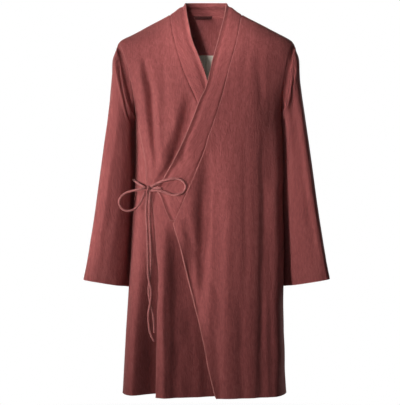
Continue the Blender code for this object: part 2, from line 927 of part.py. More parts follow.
def make_knot():
    shape = bmesh.new()
    bmesh.ops.create_uvsphere(shape, u_segments=14, v_segments=8, radius=METRES)
    bmesh.ops.scale(shape, vec=Vector(KNOT_RADII), verts=shape.verts)
    bmesh.ops.translate(shape, vec=Vector(KNOT) * METRES, verts=shape.verts)
    return add_mesh("tie_knot", shape)


COAT = "hanfu coat"
CLOTH_RED = (0.235, 0.068, 0.062)
TIE_RED = (0.262, 0.083, 0.075)
LINING_CREAM = (0.62, 0.58, 0.49)


def main():
    clear_scene()
    red = [
        make_back(),
        make_side_panel(),
        make_under_front(),
        make_over_front(),
        make_back_facing(),
        make_hanger_loop(),
    ]
    red += make_collar()
    for name, (side, table) in SLEEVES.items():
        red += make_sleeve(name, side, table)
    dye(red, "coat_cloth", CLOTH_RED, 0.85)
    dye([make_back_lining()], "lining_cloth", LINING_CREAM, 0.7)
    ties = [make_tie(name, places) for name, places in TIE_ROUTES.items()]
    dye(ties + [make_knot()], "tie_cloth", TIE_RED, 0.8)


main()
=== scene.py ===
# %% [markdown]
# # A long wrap coat in slubbed red cloth, filled out as if worn
#
# This lesson dresses a coat whose plain solids already exist. The frame gives those solids and the
# body that they ride on. Everything here is in the same metres, so a piece of cloth that is worked
# out from the coat's own sizes lands on its solid without any fitting.

# %% Load the frame
import json
import math

import bmesh
import bpy
import numpy as np
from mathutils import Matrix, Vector

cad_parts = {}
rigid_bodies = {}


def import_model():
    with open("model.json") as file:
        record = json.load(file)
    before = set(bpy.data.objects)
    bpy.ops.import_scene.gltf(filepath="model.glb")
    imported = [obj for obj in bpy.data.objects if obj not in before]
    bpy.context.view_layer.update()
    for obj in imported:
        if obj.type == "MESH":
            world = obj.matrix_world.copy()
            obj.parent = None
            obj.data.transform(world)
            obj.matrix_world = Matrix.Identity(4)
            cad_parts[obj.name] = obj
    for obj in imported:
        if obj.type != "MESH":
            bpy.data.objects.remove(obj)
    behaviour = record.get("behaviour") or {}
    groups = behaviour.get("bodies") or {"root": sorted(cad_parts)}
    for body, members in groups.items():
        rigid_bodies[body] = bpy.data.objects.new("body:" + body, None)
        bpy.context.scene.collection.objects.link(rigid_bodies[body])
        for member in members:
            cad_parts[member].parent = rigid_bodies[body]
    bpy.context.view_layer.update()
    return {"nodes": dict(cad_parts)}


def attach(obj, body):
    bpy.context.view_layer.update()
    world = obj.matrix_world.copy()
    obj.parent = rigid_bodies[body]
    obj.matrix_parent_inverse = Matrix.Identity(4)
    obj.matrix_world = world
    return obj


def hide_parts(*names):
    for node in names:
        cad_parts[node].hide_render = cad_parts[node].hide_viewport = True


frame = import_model()
scene = bpy.context.scene
print("nodes:", sorted(frame["nodes"]))

# %% [markdown]
# ## The camera first
#
# The picture looks straight at the coat from a few metres away with a long lens, so nothing is
# foreshortened. One picture width covers 1.08 m at the coat's middle. With the camera 4.5 m off,
# that is a 150 mm lens on a 36 mm sensor.

# %% Camera
VIEW_WIDTH = 1.08
CAMERA_AWAY = 4.5
CAMERA_ACROSS = -0.0162
CAMERA_HEIGHT = -0.5009
SENSOR_MM = 36.0

camera = bpy.data.objects.new("camera", bpy.data.cameras.new("camera"))
camera.data.sensor_fit = "HORIZONTAL"
camera.data.sensor_width = SENSOR_MM
camera.data.lens = SENSOR_MM * CAMERA_AWAY / VIEW_WIDTH
camera.data.clip_end = 60
camera.location = (CAMERA_ACROSS, -CAMERA_AWAY, CAMERA_HEIGHT)
camera.rotation_euler = (math.radians(90), 0, 0)
scene.collection.objects.link(camera)
scene.camera = camera
print("lens", round(camera.data.lens), "mm")

# %% [markdown]
# ## Sizes in tables
#
# A pattern cutter keeps a coat's sizes in a table and draws fair curves through them. Here a small
# class does that: rows of sizes with named columns, read smoothly along the first column. The curve
# is flat where the sizes turn, so it never bulges past a row. Sizes are in millimetres.

# %% Reading a table of sizes
METRES = 0.001


class Sizes:
    """Rows of sizes with named columns, read as smooth curves along the first column."""

    def __init__(self, columns, *rows):
        table = np.array(sorted(rows), float)
        self.keys = table[:, 0]
        self.values = {name: table[:, i] for i, name in enumerate(columns)}
        self.slopes = {name: self.fair_slopes(values) for name, values in self.values.items()}

    def fair_slopes(self, values):
        steps = np.diff(values) / np.diff(self.keys)
        before, after = steps[:-1], steps[1:]
        turning = before * after <= 0
        total = np.where(turning, 1.0, before + after)
        inside = np.where(turning, 0.0, 2 * before * after / total)
        return np.concatenate([steps[:1], inside, steps[-1:]])

    def __call__(self, name, at):
        keys, values, slopes = self.keys, self.values[name], self.slopes[name]
        at = np.clip(at, keys[0], keys[-1])
        i = np.clip(np.searchsorted(keys, at, side="right") - 1, 0, len(keys) - 2)
        span = keys[i + 1] - keys[i]
        t = (at - keys[i]) / span
        return (
            (2 * t**3 - 3 * t**2 + 1) * values[i]
            + (t**3 - 2 * t**2 + t) * slopes[i] * span
            + (3 * t**2 - 2 * t**3) * values[i + 1]
            + (t**3 - t**2) * slopes[i + 1] * span
        )


def smooth(value, low, high):
    """0 below low and 1 above high, with soft ends. Low may be the larger of the two."""
    t = np.clip((value - low) / (high - low), 0, 1)
    return t * t * (3 - 2 * t)


def blend(start, end, t):
    return start + (end - start) * t


def signed_power(value, power):
    return np.sign(value) * np.abs(value) ** power


# %% [markdown]
# ## The coat's sizes
#
# Heights are measured from the base of the neck, +X is the wearer's left and the front faces -Y.
# The body is a pile of rounded rings, each with its own half-widths and depths. Edges and seams are
# given by how far they lie from the middle at each height.

# %% The coat's sizes
HEM = -1014.0
ARMPIT = -268.0
SHOULDER_TIP = -69.0
NECK_POINT = 5.0
NECK_RISE = 6.0
WAIST = -462.0
COLLAR_END = -552.0
TIP_X = {-1: 235.0, 1: 235.0}
PIT_X = {-1: 191.0, 1: 203.0}
ARMHOLE_HALF_DEPTH = 65.0
ARMHOLE_SCOOP = 9.0
ROUNDNESS = 2.3

BODY = Sizes(
    ("height", "wearer_right", "wearer_left", "front", "back"),
    (HEM, 225, 217, 150, 146),
    (-900, 219, 210, 144, 140),
    (-737, 209, 205, 134, 130),
    (-604, 201, 204, 124, 118),
    (-517, 196, 204, 118, 110),
    (WAIST, 192, 204, 115, 107),
    (-400, 190, 204, 117, 112),
    (ARMPIT, PIT_X[-1], PIT_X[1], 123, 122),
    (-200, 215, 220, 117, 122),
    (-120, 228, 230, 97, 116),
    (SHOULDER_TIP, TIP_X[-1], TIP_X[1], 74, 104),
    (-49, 198, 200, 62, 98),
    (-32, 168, 169, 52, 92),
    (-16, 138, 138, 41, 85),
    (0, 107, 107, 31, 76),
    (NECK_POINT, 97, 97, 27, 73),
    (11, 97, 97, 22, 69),
    (38, 97, 97, -5, 60),
)
SKIRT_DEPTH = Sizes(
    ("height", "gape", "slit"),
    (WAIST, 0, 0),
    (COLLAR_END, 0, 12),
    (-600, 18, 16),
    (-650, 31, 22),
    (-740, 42, 46),
    (-850, 52, 74),
    (HEM, 60, 86),
)
OVER_EDGE = Sizes(
    ("height", "x"),
    (NECK_POINT, 97),
    (-20, 91),
    (-67, 82),
    (-150, 60),
    (-230, 39),
    (-388, -16),
    (-488, -57),
    (-550, -83),
    (-559, -86.6),
    (-568, -84),
    (-632, -64),
    (-719, -43),
    (-861, -11),
    (-942, 8),
    (HEM, 26),
)
UNDER_EDGE = Sizes(
    ("height", "x"),
    (NECK_POINT, -97),
    (-20, -94),
    (-59, -87),
    (-142, -64),
    (-230, -28),
    (-388, 20),
    (-488, 58),
    (-559, 88),
    (-700, 100),
    (HEM, 112),
)
SIDE_SEAM = Sizes(
    ("height", "x"),
    (-181, -201),
    (-245, -190),
    (-334, -173),
    (-403, -161),
    (WAIST, -157),
    (-500, -144),
    (-616, -133),
    (-700, -126),
    (-790, -129),
    (HEM, -134),
)
OVER_COLLAR = Sizes(
    ("height", "edge_x", "edge_height"),
    (NECK_POINT, 56, 38),
    (-8, 52, 20),
    (-25, 49, -2),
    (-45, 42, -28),
    (-70, 34, -60),
    (-105, 24, -102),
    (-150, 13, -150),
    (-185, 4, -185),
    (-230, -18, -230),
    (-272, -33, -272),
    (-340, -61, -340),
    (-392, -86, -392),
    (-438, -112, -438),
    (-467, -130, -467),
    (-481, -121, -481),
    (-530, -103, -530),
    (COLLAR_END, -92, COLLAR_END),
)
UNDER_COLLAR = Sizes(
    ("height", "edge_x", "edge_height"),
    (NECK_POINT, -56, 38),
    (-8, -53, 20),
    (-25, -50, -2),
    (-45, -45, -28),
    (-70, -39, -60),
    (-105, -25, -102),
    (-150, -7, -150),
    (-185, 6, -185),
    (-230, 19, -230),
    (-272, 33, -272),
    (-340, 61, -340),
    (-392, 85, -392),
    (-438, 112, -438),
    (-467, 130, -467),
    (-481, 121, -481),
    (-530, 103, -530),
    (COLLAR_END, 93, COLLAR_END),
)
BACK_COLLAR_Y = 55.0
BACK_COLLAR_HEIGHT = 44.0

# %% [markdown]
# ## One form under all the panels
#
# Each ring is a superellipse. Between the armpit and the shoulder it is wide enough to pass
# through the armhole seam, and the cloth ends there. If every panel were shaped by itself, the
# neighbours would part at their seams, so the whole body is worked out once on a fine net, eased
# like cloth over a shoulder, and each panel then reads its own stretch of that one net.

# %% The filled-out body
NET_STEP = 5.0
NET_ANGLE = 2.0
NET_TOP = 16.0
EASING_ROUNDS = 14
TIP_KEPT = 0.75
TIP_REACH = 26.0


def armhole(side, turn):
    """Point of the armhole seam. A turn of 0 is the shoulder tip, 90 the front, 180 the armpit."""
    rise, reach = np.cos(np.radians(turn)), np.sin(np.radians(turn))
    x = blend(PIT_X[side], TIP_X[side], (1 + rise) / 2) - ARMHOLE_SCOOP * reach**2
    height = (SHOULDER_TIP + ARMPIT) / 2 + (SHOULDER_TIP - ARMPIT) / 2 * rise
    return side * x, -ARMHOLE_HALF_DEPTH * reach, height


def section(side, height, behind):
    """Half-width, depth and last angle of the rings on one side, at many heights at once."""
    depth = BODY("back" if behind else "front", height)
    plain = BODY("wearer_left" if side > 0 else "wearer_right", height)
    rise = (height - (SHOULDER_TIP + ARMPIT) / 2) / ((SHOULDER_TIP - ARMPIT) / 2)
    at_arm = np.abs(rise) < 1
    seam_x, seam_y, _ = armhole(side, np.degrees(np.arccos(np.clip(rise, -1, 1))))
    end = np.arccos(np.clip((np.abs(seam_y) / depth) ** (ROUNDNESS / 2), 0, 1))
    wide = np.abs(seam_x) / np.maximum(np.sin(end), 0.1) ** (2 / ROUNDNESS)
    return np.where(at_arm, wide, plain), depth, np.where(at_arm, np.degrees(end), 90.0)


def ring_point(angle, height):
    """Point of the plain rings. The angle is 0 in front, 90 at the wearer's left, 180 behind."""
    across, along = np.sin(np.radians(angle)), np.cos(np.radians(angle))
    width, depth = np.zeros(np.shape(angle)), np.zeros(np.shape(angle))
    for side in (-1, 1):
        for behind in (False, True):
            here = (np.sign(angle) * side >= 0) & ((np.abs(angle) > 90) == behind)
            half, deep, _ = section(side, height, behind)
            width, depth = np.where(here, half, width), np.where(here, deep, depth)
    power = 2 / ROUNDNESS
    x, y = width * signed_power(across, power), -depth * signed_power(along, power)
    return np.stack([x, y, height + 0 * x], axis=-1)


net_heights = np.arange(HEM, NET_TOP + 0.1, NET_STEP)
net_angles = np.arange(-180, 180, NET_ANGLE)
net = ring_point(*np.broadcast_arrays(net_angles[None, :], net_heights[:, None]))
for _ in range(EASING_ROUNDS):
    around = (np.roll(net, 1, axis=1) + np.roll(net, -1, axis=1)) / 2
    mean = 0.5 * around
    mean[1:-1] += 0.25 * (net[2:] + net[:-2])
    hold = 1 - TIP_KEPT * np.exp(-(((net_heights - SHOULDER_TIP) / TIP_REACH) ** 2))[:, None, None]
    hold[0] = hold[-4:] = 0
    eased = net + 0.6 * (mean - net) * hold
    eased[..., 2] = net[..., 2]
    net = eased
print("net", net.shape, "half width at the waist", round(float(net[..., 0].max())), "mm")


def on_form(angle, height):
    """Points of the eased form, read with soft curves between the net's points."""
    angle, height = np.broadcast_arrays(angle, height)
    column = (angle + 180) / NET_ANGLE
    row = np.clip((height - HEM) / NET_STEP, 0, len(net_heights) - 1.001)
    i, j = np.floor(column).astype(int), np.floor(row).astype(int)

    def weights(t):
        t = t[..., None]
        return (
            0.5 * (-t + 2 * t**2 - t**3),
            0.5 * (2 - 5 * t**2 + 3 * t**3),
            0.5 * (t + 4 * t**2 - 3 * t**3),
            0.5 * (-(t**2) + t**3),
        )

    total = 0
    for b, weight_b in enumerate(weights(row - j)):
        near = np.clip(j + b - 1, 0, len(net_heights) - 1)
        for a, weight_a in enumerate(weights(column - i)):
            total = total + weight_a * weight_b * net[near, (i + a - 1) % len(net_angles)]
    total[..., 2] = height
    return total


net_arcs = np.linalg.norm(np.diff(net, axis=1, append=net[:, :1]), axis=-1)
net_arcs = np.concatenate([np.zeros((len(net_heights), 1)), np.cumsum(net_arcs, axis=1)], axis=1)
net_arcs -= net_arcs[:, [len(net_angles) // 2]]


def grain_at(angle, height):
    """Distance round the form from the middle of the front, which is where the grain runs upright."""
    angle, height = np.broadcast_arrays(angle, height)
    turns = np.floor((angle + 180) / 360)
    column = (angle + 180 - 360 * turns) / NET_ANGLE
    row = np.clip((height - HEM) / NET_STEP, 0, len(net_heights) - 1.001)
    i, j = np.floor(column).astype(int), np.floor(row).astype(int)
    low = blend(net_arcs[j, i], net_arcs[j, i + 1], column - i)
    high = blend(net_arcs[j + 1, i], net_arcs[j + 1, i + 1], column - i)
    girth = blend(net_arcs[j, -1] - net_arcs[j, 0], net_arcs[j + 1, -1] - net_arcs[j + 1, 0], row - j)
    return blend(low, high, row - j) + turns * girth


def form_normal(angle, height):
    """Outward direction of the form."""
    around = on_form(angle + 0.7, height) - on_form(angle - 0.7, height)
    above = np.minimum(height + 2, NET_TOP - 2)
    upward = on_form(angle, above) - on_form(angle, above - 4)
    normal = np.cross(around, upward)
    return normal / np.linalg.norm(normal, axis=-1, keepdims=True)


def angle_at(x, height, behind=False):
    """Angle at which the rings have this x."""
    x, height = np.broadcast_arrays(np.asarray(x, float), np.asarray(height, float))
    right, left = section(-1, height, behind)[0], section(1, height, behind)[0]
    width = np.where(x >= 0, left, right)
    angle = np.degrees(np.arcsin(np.clip(np.abs(x) / width, 0, 1) ** (ROUNDNESS / 2)))
    angle = np.where(behind, 180 - angle, angle)
    return np.where(x >= 0, angle, -angle)


def panel_end(side, height, behind=False):
    """Angle at which a panel ends: the side seam, the armhole or the shoulder seam."""
    end = section(side, height, behind)[2]
    return side * (180 - end if behind else end)

# %% [markdown]
# ## Folds and crinkles
#
# Linen-like cloth hangs in long soft troughs and ridges, and it keeps fine upright crinkles from
# washing. A simulation would find other folds than this coat has, so the large ones are listed one by
# one: each follows a curve through three places and has a half-width and a depth. A trough pushes
# up low shoulders beside itself, as cloth does. The crinkles come from a smooth random net, which
# is the same in every run because its seed is fixed.

# %% Random nets and folds
NOISE_CELLS = 64


def crinkle(across, along, seed):
    """Smooth random heights from -1 to 1, one cell for each unit."""
    cells = np.random.default_rng(seed).uniform(-1, 1, (NOISE_CELLS, NOISE_CELLS))
    i, j = np.floor(across).astype(int), np.floor(along).astype(int)
    a, b = across - i, along - j
    a, b = a * a * (3 - 2 * a), b * b * (3 - 2 * b)

    def cell(di, dj):
        return cells[(i + di) % NOISE_CELLS, (j + dj) % NOISE_CELLS]

    low = blend(cell(0, 0), cell(1, 0), a)
    return blend(low, blend(cell(0, 1), cell(1, 1), a), b)


FOLD_COLUMNS = "top_x top_z mid_x mid_z low_x low_z half_width depth to_hem".split()
UNDER_FOLDS = (
    (-162, -110, -143, -270, -126, -430, 11, -20.0, 0),
    (-176, -110, -173, -240, -168, -390, 12, 5.0, 0),
    (-113, -110, -111, -240, -106, -380, 12, -3.0, 0),
    (-134, -215, -127, -320, -120, -440, 9, 4.0, 0),
    (-95, -240, -92, -320, -86, -425, 9, -3.0, 0),
    (-153, -350, -151, -405, -149, -455, 6, -4.0, 0),
    (-108, -345, -124, -400, -143, -452, 7, 4.0, 0),
    (-76, -350, -104, -410, -138, -455, 6, -4.0, 0),
    (-42, -210, -70, -350, -112, -464, 19, -30.0, 0),
    (-122, -560, -117, -760, -112, HEM, 13, 8.0, 1),
    (-88, -500, -84, -790, -80, HEM, 17, -17.0, 1),
    (-66, -540, -60, -790, -54, HEM, 18, -12.0, 1),
    (-106, -640, -104, -820, -102, HEM, 6, -1.6, 1),
    (-46, -720, -41, -850, -36, HEM, 11, -3.0, 1),
    (-20, -850, -16, -930, -12, HEM, 12, 3.0, 1),
)
SIDE_FOLDS = (
    (-196, -470, -204, -760, -208, HEM, 8, -2.0, 1),
    (-178, -330, -176, -400, -172, -470, 5, -2.6, 0),
    (-120, -500, -121, -700, -126, HEM, 22, -28.0, 1),
)
OVER_FOLDS = (
    (10, -330, 12, -560, 20, -860, 42, -9.0, 0),
    (4, -360, -6, -545, -20, -860, 18, -26.0, 0),
    (-46, -540, -42, -640, -30, -840, 16, -22.0, 0),
    (147, -150, 148, -560, 138, HEM, 10, -4.5, 1),
    (190, -110, 190, -560, 186, HEM, 21, 20.0, 1),
    (70, -240, 76, -560, 80, -900, 34, 4.0, 0),
    (27, -320, 24, -560, 20, -800, 10, -2.6, 0),
    (58, -380, 56, -620, 54, -880, 13, 3.0, 0),
    (100, -330, 103, -560, 98, -800, 9, -3.0, 0),
    (-80, -560, -44, -690, 0, -860, 8, -5.0, 0),
    (-68, -552, -16, -650, 46, -790, 8, -3.0, 0),
    (40, -560, 52, -790, 60, HEM, 22, 4.0, 1),
    (86, -700, 90, -860, 95, HEM, 13, -5.0, 1),
    (20, -800, 26, -900, 34, HEM, 12, -4.0, 1),
    (158, -700, 160, -860, 163, HEM, 9, 4.0, 1),
    (120, -40, 104, -120, 92, -215, 10, -2.6, 0),
    (138, -80, 140, -160, 141, -260, 12, -5.0, 0),
)
BACK_FOLDS = (
    (-92, -260, -110, -640, -128, HEM, 22, -6.0, 1),
    (-30, -440, -38, -720, -44, HEM, 24, 4.0, 1),
    (88, -240, 100, -620, 112, HEM, 22, -6.0, 1),
    (30, -520, 32, -760, 34, HEM, 18, -4.0, 1),
    (150, -380, 158, -700, 166, HEM, 16, 4.0, 1),
    (-4, -120, 2, -280, -6, -460, 10, -2.2, 0),
    (-70, -150, -62, -300, -66, -430, 9, 2.0, 0),
    (66, -140, 60, -290, 70, -450, 9, 2.0, 0),
    (-150, -300, -140, -400, -128, -520, 8, -3.0, 0),
    (140, -320, 128, -420, 120, -540, 8, -3.0, 0),
    (-172, -480, -180, -740, -188, HEM, 12, -3.0, 1),
    (70, -600, 74, -800, 78, HEM, 12, 2.4, 1),
    (-80, -620, -84, -820, -86, HEM, 12, 2.6, 1),
)
SHOULDER_OF_FOLD = 0.34
SHOULDER_SPREAD = 2.1
WANDER = 3.0


def fold_lift(folds, x, z):
    """Height of the folds over the form, in millimetres."""
    total = np.zeros(np.shape(x))
    for seed, row in enumerate(folds):
        top_x, top_z, mid_x, mid_z, low_x, low_z, half_width, depth, to_hem = row
        t = np.clip((top_z - z) / (top_z - low_z), 0, 1)
        bend = (top_z - mid_z) / (top_z - low_z)
        middle = (
            top_x * (t - bend) * (t - 1) / bend
            + mid_x * t * (t - 1) / (bend * (bend - 1))
            + low_x * t * (t - bend) / (1 - bend)
        )
        middle = middle + WANDER * crinkle(z / 70, np.full(np.shape(z), seed * 3.7), seed)
        inside = np.where((t > 0) & (z < top_z), 1.0, 0.0)
        strength = smooth(t, 0, 0.45) if to_hem else np.sin(np.pi * t) ** 0.8
        away = (x - middle) / half_width
        profile = np.exp(-(away**2)) - SHOULDER_OF_FOLD * np.exp(-((away / SHOULDER_SPREAD) ** 2))
        total = total + depth * strength * inside * profile
    return total


def crinkle_lift(across, along, seed):
    """Upright crinkles: about 12 mm apart and long, with finer and shorter ones between them."""
    broad = crinkle(across / 17, along / 95, seed)
    fine = crinkle(across / 8, along / 34, seed + 1)
    soft = crinkle(across / 55, along / 120, seed + 2)
    return 0.4 * broad + 0.3 * fine + 1.1 * soft


# %% [markdown]
# ## How a piece of cloth is made
#
# Real cloth has two faces, a cut or folded edge, and a grain. Each piece here starts as a flat grid
# and is extruded once, which gives the second face and the rim in one step. Then its points move to
# the place that the piece's own rule gives, the inner ones by the cloth's thickness further in. Two
# details make it read as sewn cloth. At a folded edge or a hem it is thicker and the outer face
# rolls over. At a seam the face sinks into a narrow ditch and stands a little proud over the seam
# allowance. A UV map in metres keeps across and along the grain, for the weave.

# %% Making cloth
WALL = 1.5
HEM_WALL = 2.6
EDGE_ROLL = 1.3
RIM_STEPS = (0.0, 0.7, 1.5, 2.8, 4.6)
DITCH = 0.9
DITCH_WIDTH = 1.7
ALLOWANCE = 9.0
ALLOWANCE_RISE = 0.35


def spread(length, step):
    """Fractions from 0 to 1 with even steps, and finer ones at both ends for the rims."""
    rim = np.array(RIM_STEPS)
    count = max(2, round((length - 2 * rim[-1]) / step))
    inside = np.linspace(rim[-1], length - rim[-1], count + 1)
    return np.concatenate([rim[:-1], inside, (length - rim[:-1])[::-1]]) / length


def grid_normal(points, closed):
    """Outward directions of a net of points, from its neighbours."""
    if closed:
        across = np.roll(points, -1, axis=1) - np.roll(points, 1, axis=1)
    else:
        across = np.gradient(points, axis=1)
    normal = np.cross(across, np.gradient(points, axis=0))
    return normal / np.maximum(np.linalg.norm(normal, axis=-1, keepdims=True), 1e-9)


def lengths_along(points, axis):
    """Distance along the net's lines, from the first line on."""
    step = np.linalg.norm(np.diff(points, axis=axis), axis=-1)
    start = np.zeros_like(np.take(step, [0], axis=axis))
    return np.concatenate([start, np.cumsum(step, axis=axis)], axis=axis)


def edge_shape(kind, distance):
    """Sink of the outer face, extra thickness, and 1 on a folded edge, the mask for its painted highlight,
    for one side of a piece.
    """
    nothing = np.zeros_like(distance)
    if kind == "fold":
        inward = np.clip(EDGE_ROLL - distance, 0, EDGE_ROLL)
        sink = EDGE_ROLL - np.sqrt(EDGE_ROLL**2 - inward**2)
        return sink, (HEM_WALL - WALL) * (1 - smooth(distance, 8, 24)), np.exp(-((distance / 1.6) ** 2))
    if kind == "seam":
        ditch = DITCH * np.exp(-((distance / DITCH_WIDTH) ** 2))
        rise = ALLOWANCE_RISE * smooth(distance, 2, 4) * (1 - smooth(distance, ALLOWANCE, ALLOWANCE + 4))
        return ditch - rise, nothing, nothing
    return nothing, nothing, nothing


def cloth(name, points, sides, wall=WALL, closed=False, turn_round=False, grain=None):
    """A piece of cloth on a net of points, [row, column]. Sides are left, right, low and top.

    The grain is the place across the weave of each point, where it isn't the distance from the side.
    """
    rows, columns = points.shape[0] - 1, points.shape[1] - (0 if closed else 1)
    normal = grid_normal(points, closed) * (-1 if turn_round else 1)
    ring = np.concatenate([points, points[:, :1]], axis=1) if closed else points
    across, along = lengths_along(ring, 1), lengths_along(ring, 0)
    girth = across[:, -1:].copy()
    from_sides = (across, girth - across, along, along[-1:] - along)
    sink, extra, edge = 0, 0, 0
    for kind, distance in zip(sides, from_sides):
        part = edge_shape(kind, distance[:, : points.shape[1]])
        sink, extra, edge = sink + part[0], np.maximum(extra, part[1]), np.maximum(edge, part[2])
    outer = points - normal * np.asarray(sink)[..., None]
    inner = outer - normal * (wall + np.asarray(extra) - 0.5 * np.asarray(sink).clip(0))[..., None]

    shape = bmesh.new()
    spot = shape.verts.layers.float_vector.new("spot")
    bmesh.ops.create_grid(shape, x_segments=columns, y_segments=rows, size=0.5)
    for vert in shape.verts:
        column, row = round((vert.co.x + 0.5) * columns), round((vert.co.y + 0.5) * rows)
        vert[spot] = (column % columns if closed else column, row, 0)
        if closed:
            turn = 2 * math.pi * column / columns
            vert.co = (math.cos(turn), math.sin(turn), row)
    if closed:
        bmesh.ops.remove_doubles(shape, verts=shape.verts, dist=1e-5)
    grown = bmesh.ops.extrude_face_region(shape, geom=shape.faces[:], use_keep_orig=True)
    for item in grown["geom"]:
        if isinstance(item, bmesh.types.BMVert):
            item[spot] = (item[spot].x, item[spot].y, 1)
    mesh = bpy.data.meshes.new(name)
    shape.to_mesh(mesh)

    count = len(mesh.vertices)
    spots = np.empty(count * 3, np.float32)
    mesh.attributes["spot"].data.foreach_get("vector", spots)
    column, row, layer = np.round(spots.reshape(-1, 3)).astype(int).T
    place = np.where((layer == 1)[:, None], inner[row, column], outer[row, column]) * METRES
    mesh.vertices.foreach_set("co", place.astype(np.float32).ravel())
    shape.clear()
    shape.from_mesh(mesh)
    bmesh.ops.recalc_face_normals(shape, faces=shape.faces)
    shape.to_mesh(mesh)
    shape.free()

    loop_vert = np.empty(len(mesh.loops), np.int32)
    mesh.loops.foreach_get("vertex_index", loop_vert)
    weave_across = across if grain is None else grain
    u, v = weave_across[row, column][loop_vert], along[row, column][loop_vert]
    if closed:
        starts = np.empty(len(mesh.polygons), np.int32)
        mesh.polygons.foreach_get("loop_start", starts)
        face_of = np.searchsorted(starts, np.arange(len(loop_vert)), side="right") - 1
        widest = np.maximum.reduceat(column[loop_vert], starts)[face_of]
        wraps = (column[loop_vert] == 0) & (widest == columns - 1)
        u = np.where(wraps, girth[row, 0][loop_vert], u)
    weave = mesh.uv_layers.new(name="weave")
    weave.data.foreach_set("uv", (np.stack([u, v], 1) * METRES).astype(np.float32).ravel())
    # The folded-edge mask goes to the shader, where it paints a highlight along those edges.
    folded = mesh.attributes.new("folded_edge", "FLOAT", "POINT")
    edge_highlight_values = np.asarray(edge + 0 * across[:, : points.shape[1]])[row, column]
    folded.data.foreach_set("value", edge_highlight_values.astype(np.float32))
    mesh.attributes.remove(mesh.attributes["spot"])
    mesh.shade_smooth()
    made = bpy.data.objects.new(name, mesh)
    scene.collection.objects.link(made)
    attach(made, "root")
    patches = np.cross(np.gradient(points, axis=0), np.gradient(points, axis=1))
    area = float(np.sum(np.linalg.norm(patches, axis=-1)))
    girths = f"{across[:, -1].min():.0f}-{across[:, -1].max():.0f}"
    flat_size = f"{girths} x {along[-1].max():.0f} mm"
    print(f"{name}: {2 * len(mesh.polygons)} triangles, {area / 1e6:.3f} m2, {flat_size}")
    return made


# %% [markdown]
# ## Rows that all panels share
#
# Panels that meet at a seam need their rows at the same heights. Rows are even, except between the
# armpit and the shoulder tip, where they follow the armhole's own turn, so that its round ends stay
# round, and the sleeve's points fall on the same places.

# %% Shared rows and the body's panels
ROW_STEP = 4.0
ARMHOLE_STEPS = 48
OVER_LIFT = 5.0
UNDER_DROP = 5.0
GAPE_FROM_X = -112.0
GAPE_PAST_EDGE = 8.0
GAPE_EASED = 0.4
SLIT_FROM_SEAM = 14.0
SLIT_TO_X = -140.0
SLIT_UNDERLAP = 15.0
SEAM_CALM = 7.0
FOLD_SPREAD = 0.2


def rows_between(low, top):
    hem = HEM + np.array(RIM_STEPS)
    skirt = np.linspace(hem[-1], ARMPIT, round((ARMPIT - hem[-1]) / ROW_STEP))
    arm = armhole(1, 180 - 180 * np.arange(1, ARMHOLE_STEPS + 1) / ARMHOLE_STEPS)[2]
    neck = NECK_POINT - np.array(RIM_STEPS)[::-1]
    shoulder = np.linspace(SHOULDER_TIP, neck[0], round((neck[0] - SHOULDER_TIP) / ROW_STEP) + 1)
    heights = np.concatenate([hem[:-1], skirt, arm, shoulder[1:], neck[1:]])
    return heights[(heights >= low - 0.01) & (heights <= top + 0.01)]


def over_lift(x, z):
    """The over front stands off the under front, but not at the side seam or near the shoulder."""
    return OVER_LIFT * smooth(z, -80, -170) * (1 - smooth(x, 125, 192))


def under_lift(x, z):
    """The under front sinks where the over front covers it."""
    return -UNDER_DROP * covered(x, z)


def covered(x, z):
    """1 where the over front hides the under front."""
    cover = np.where(z < COLLAR_END, OVER_EDGE("x", z), OVER_COLLAR("edge_x", z))
    return smooth(x, cover + 2, cover + 34) * smooth(z, -150, -215)


def no_lift(x, z):
    return 0 * x


def gape_depth(x, z):
    """How far the under front lies back behind the loose edge of the over front."""
    behind_edge = OVER_EDGE("x", z) + GAPE_PAST_EDGE
    eased = 1 - GAPE_EASED * smooth(x, behind_edge, UNDER_EDGE("x", z))
    return SKIRT_DEPTH("gape", z) * smooth(x, GAPE_FROM_X, behind_edge) * eased


def slit_depth(x, z):
    """How far the side panel lies back behind the loose edge of the under front."""
    start = SLIT_FROM_SEAM - BODY("wearer_right", z)
    return SKIRT_DEPTH("slit", z) * smooth(x, start, SLIT_TO_X)


def seam_hold(angle, height, behind):
    """0 on the side seams, the armholes and the shoulder seams, where the neighbours meet, and 1 away."""
    right, left = panel_end(-1, height, behind), panel_end(1, height, behind)
    right = np.where(angle > 180, right + 360, right)
    near = np.minimum(np.abs(angle - right), np.abs(angle - left))
    return smooth(near, 0, SEAM_CALM)


def under_folds(x, z):
    """The under front has its own folds where it shows, and the over front's where that covers it."""
    return blend(fold_lift(UNDER_FOLDS, x, z), fold_lift(OVER_FOLDS, x, z), covered(x, z))


def folded(folds, x, z):
    """Height of the folds, given as rows of a table or as a rule."""
    return folds(x, z) if callable(folds) else fold_lift(folds, x, z)


def on_body(angle, height, lift, folds, seed, behind=False):
    """Points of a panel on the form, with its lift, its folds and its crinkles."""
    point, normal = on_form(angle, height), form_normal(angle, height)
    x, z = point[..., 0], point[..., 2]
    calm = (1 - 0.75 * smooth(z, -60, 0)) * seam_hold(angle, height, behind)
    ahead = normal * (FOLD_SPREAD, 1, FOLD_SPREAD)
    ahead /= np.linalg.norm(ahead, axis=-1, keepdims=True)
    raised = folded(folds, x, z) * calm
    fine = lift(x, z) + crinkle_lift(grain_at(angle, height), z, seed) * calm
    return point + normal * fine[..., None] + ahead * raised[..., None]


def across_panel(start, end, width, step=4.0):
    """Angles across a panel from one edge to the other, a row for each height."""
    share = spread(width, step)
    return blend(np.asarray(start)[:, None], np.asarray(end)[:, None], share[None, :])


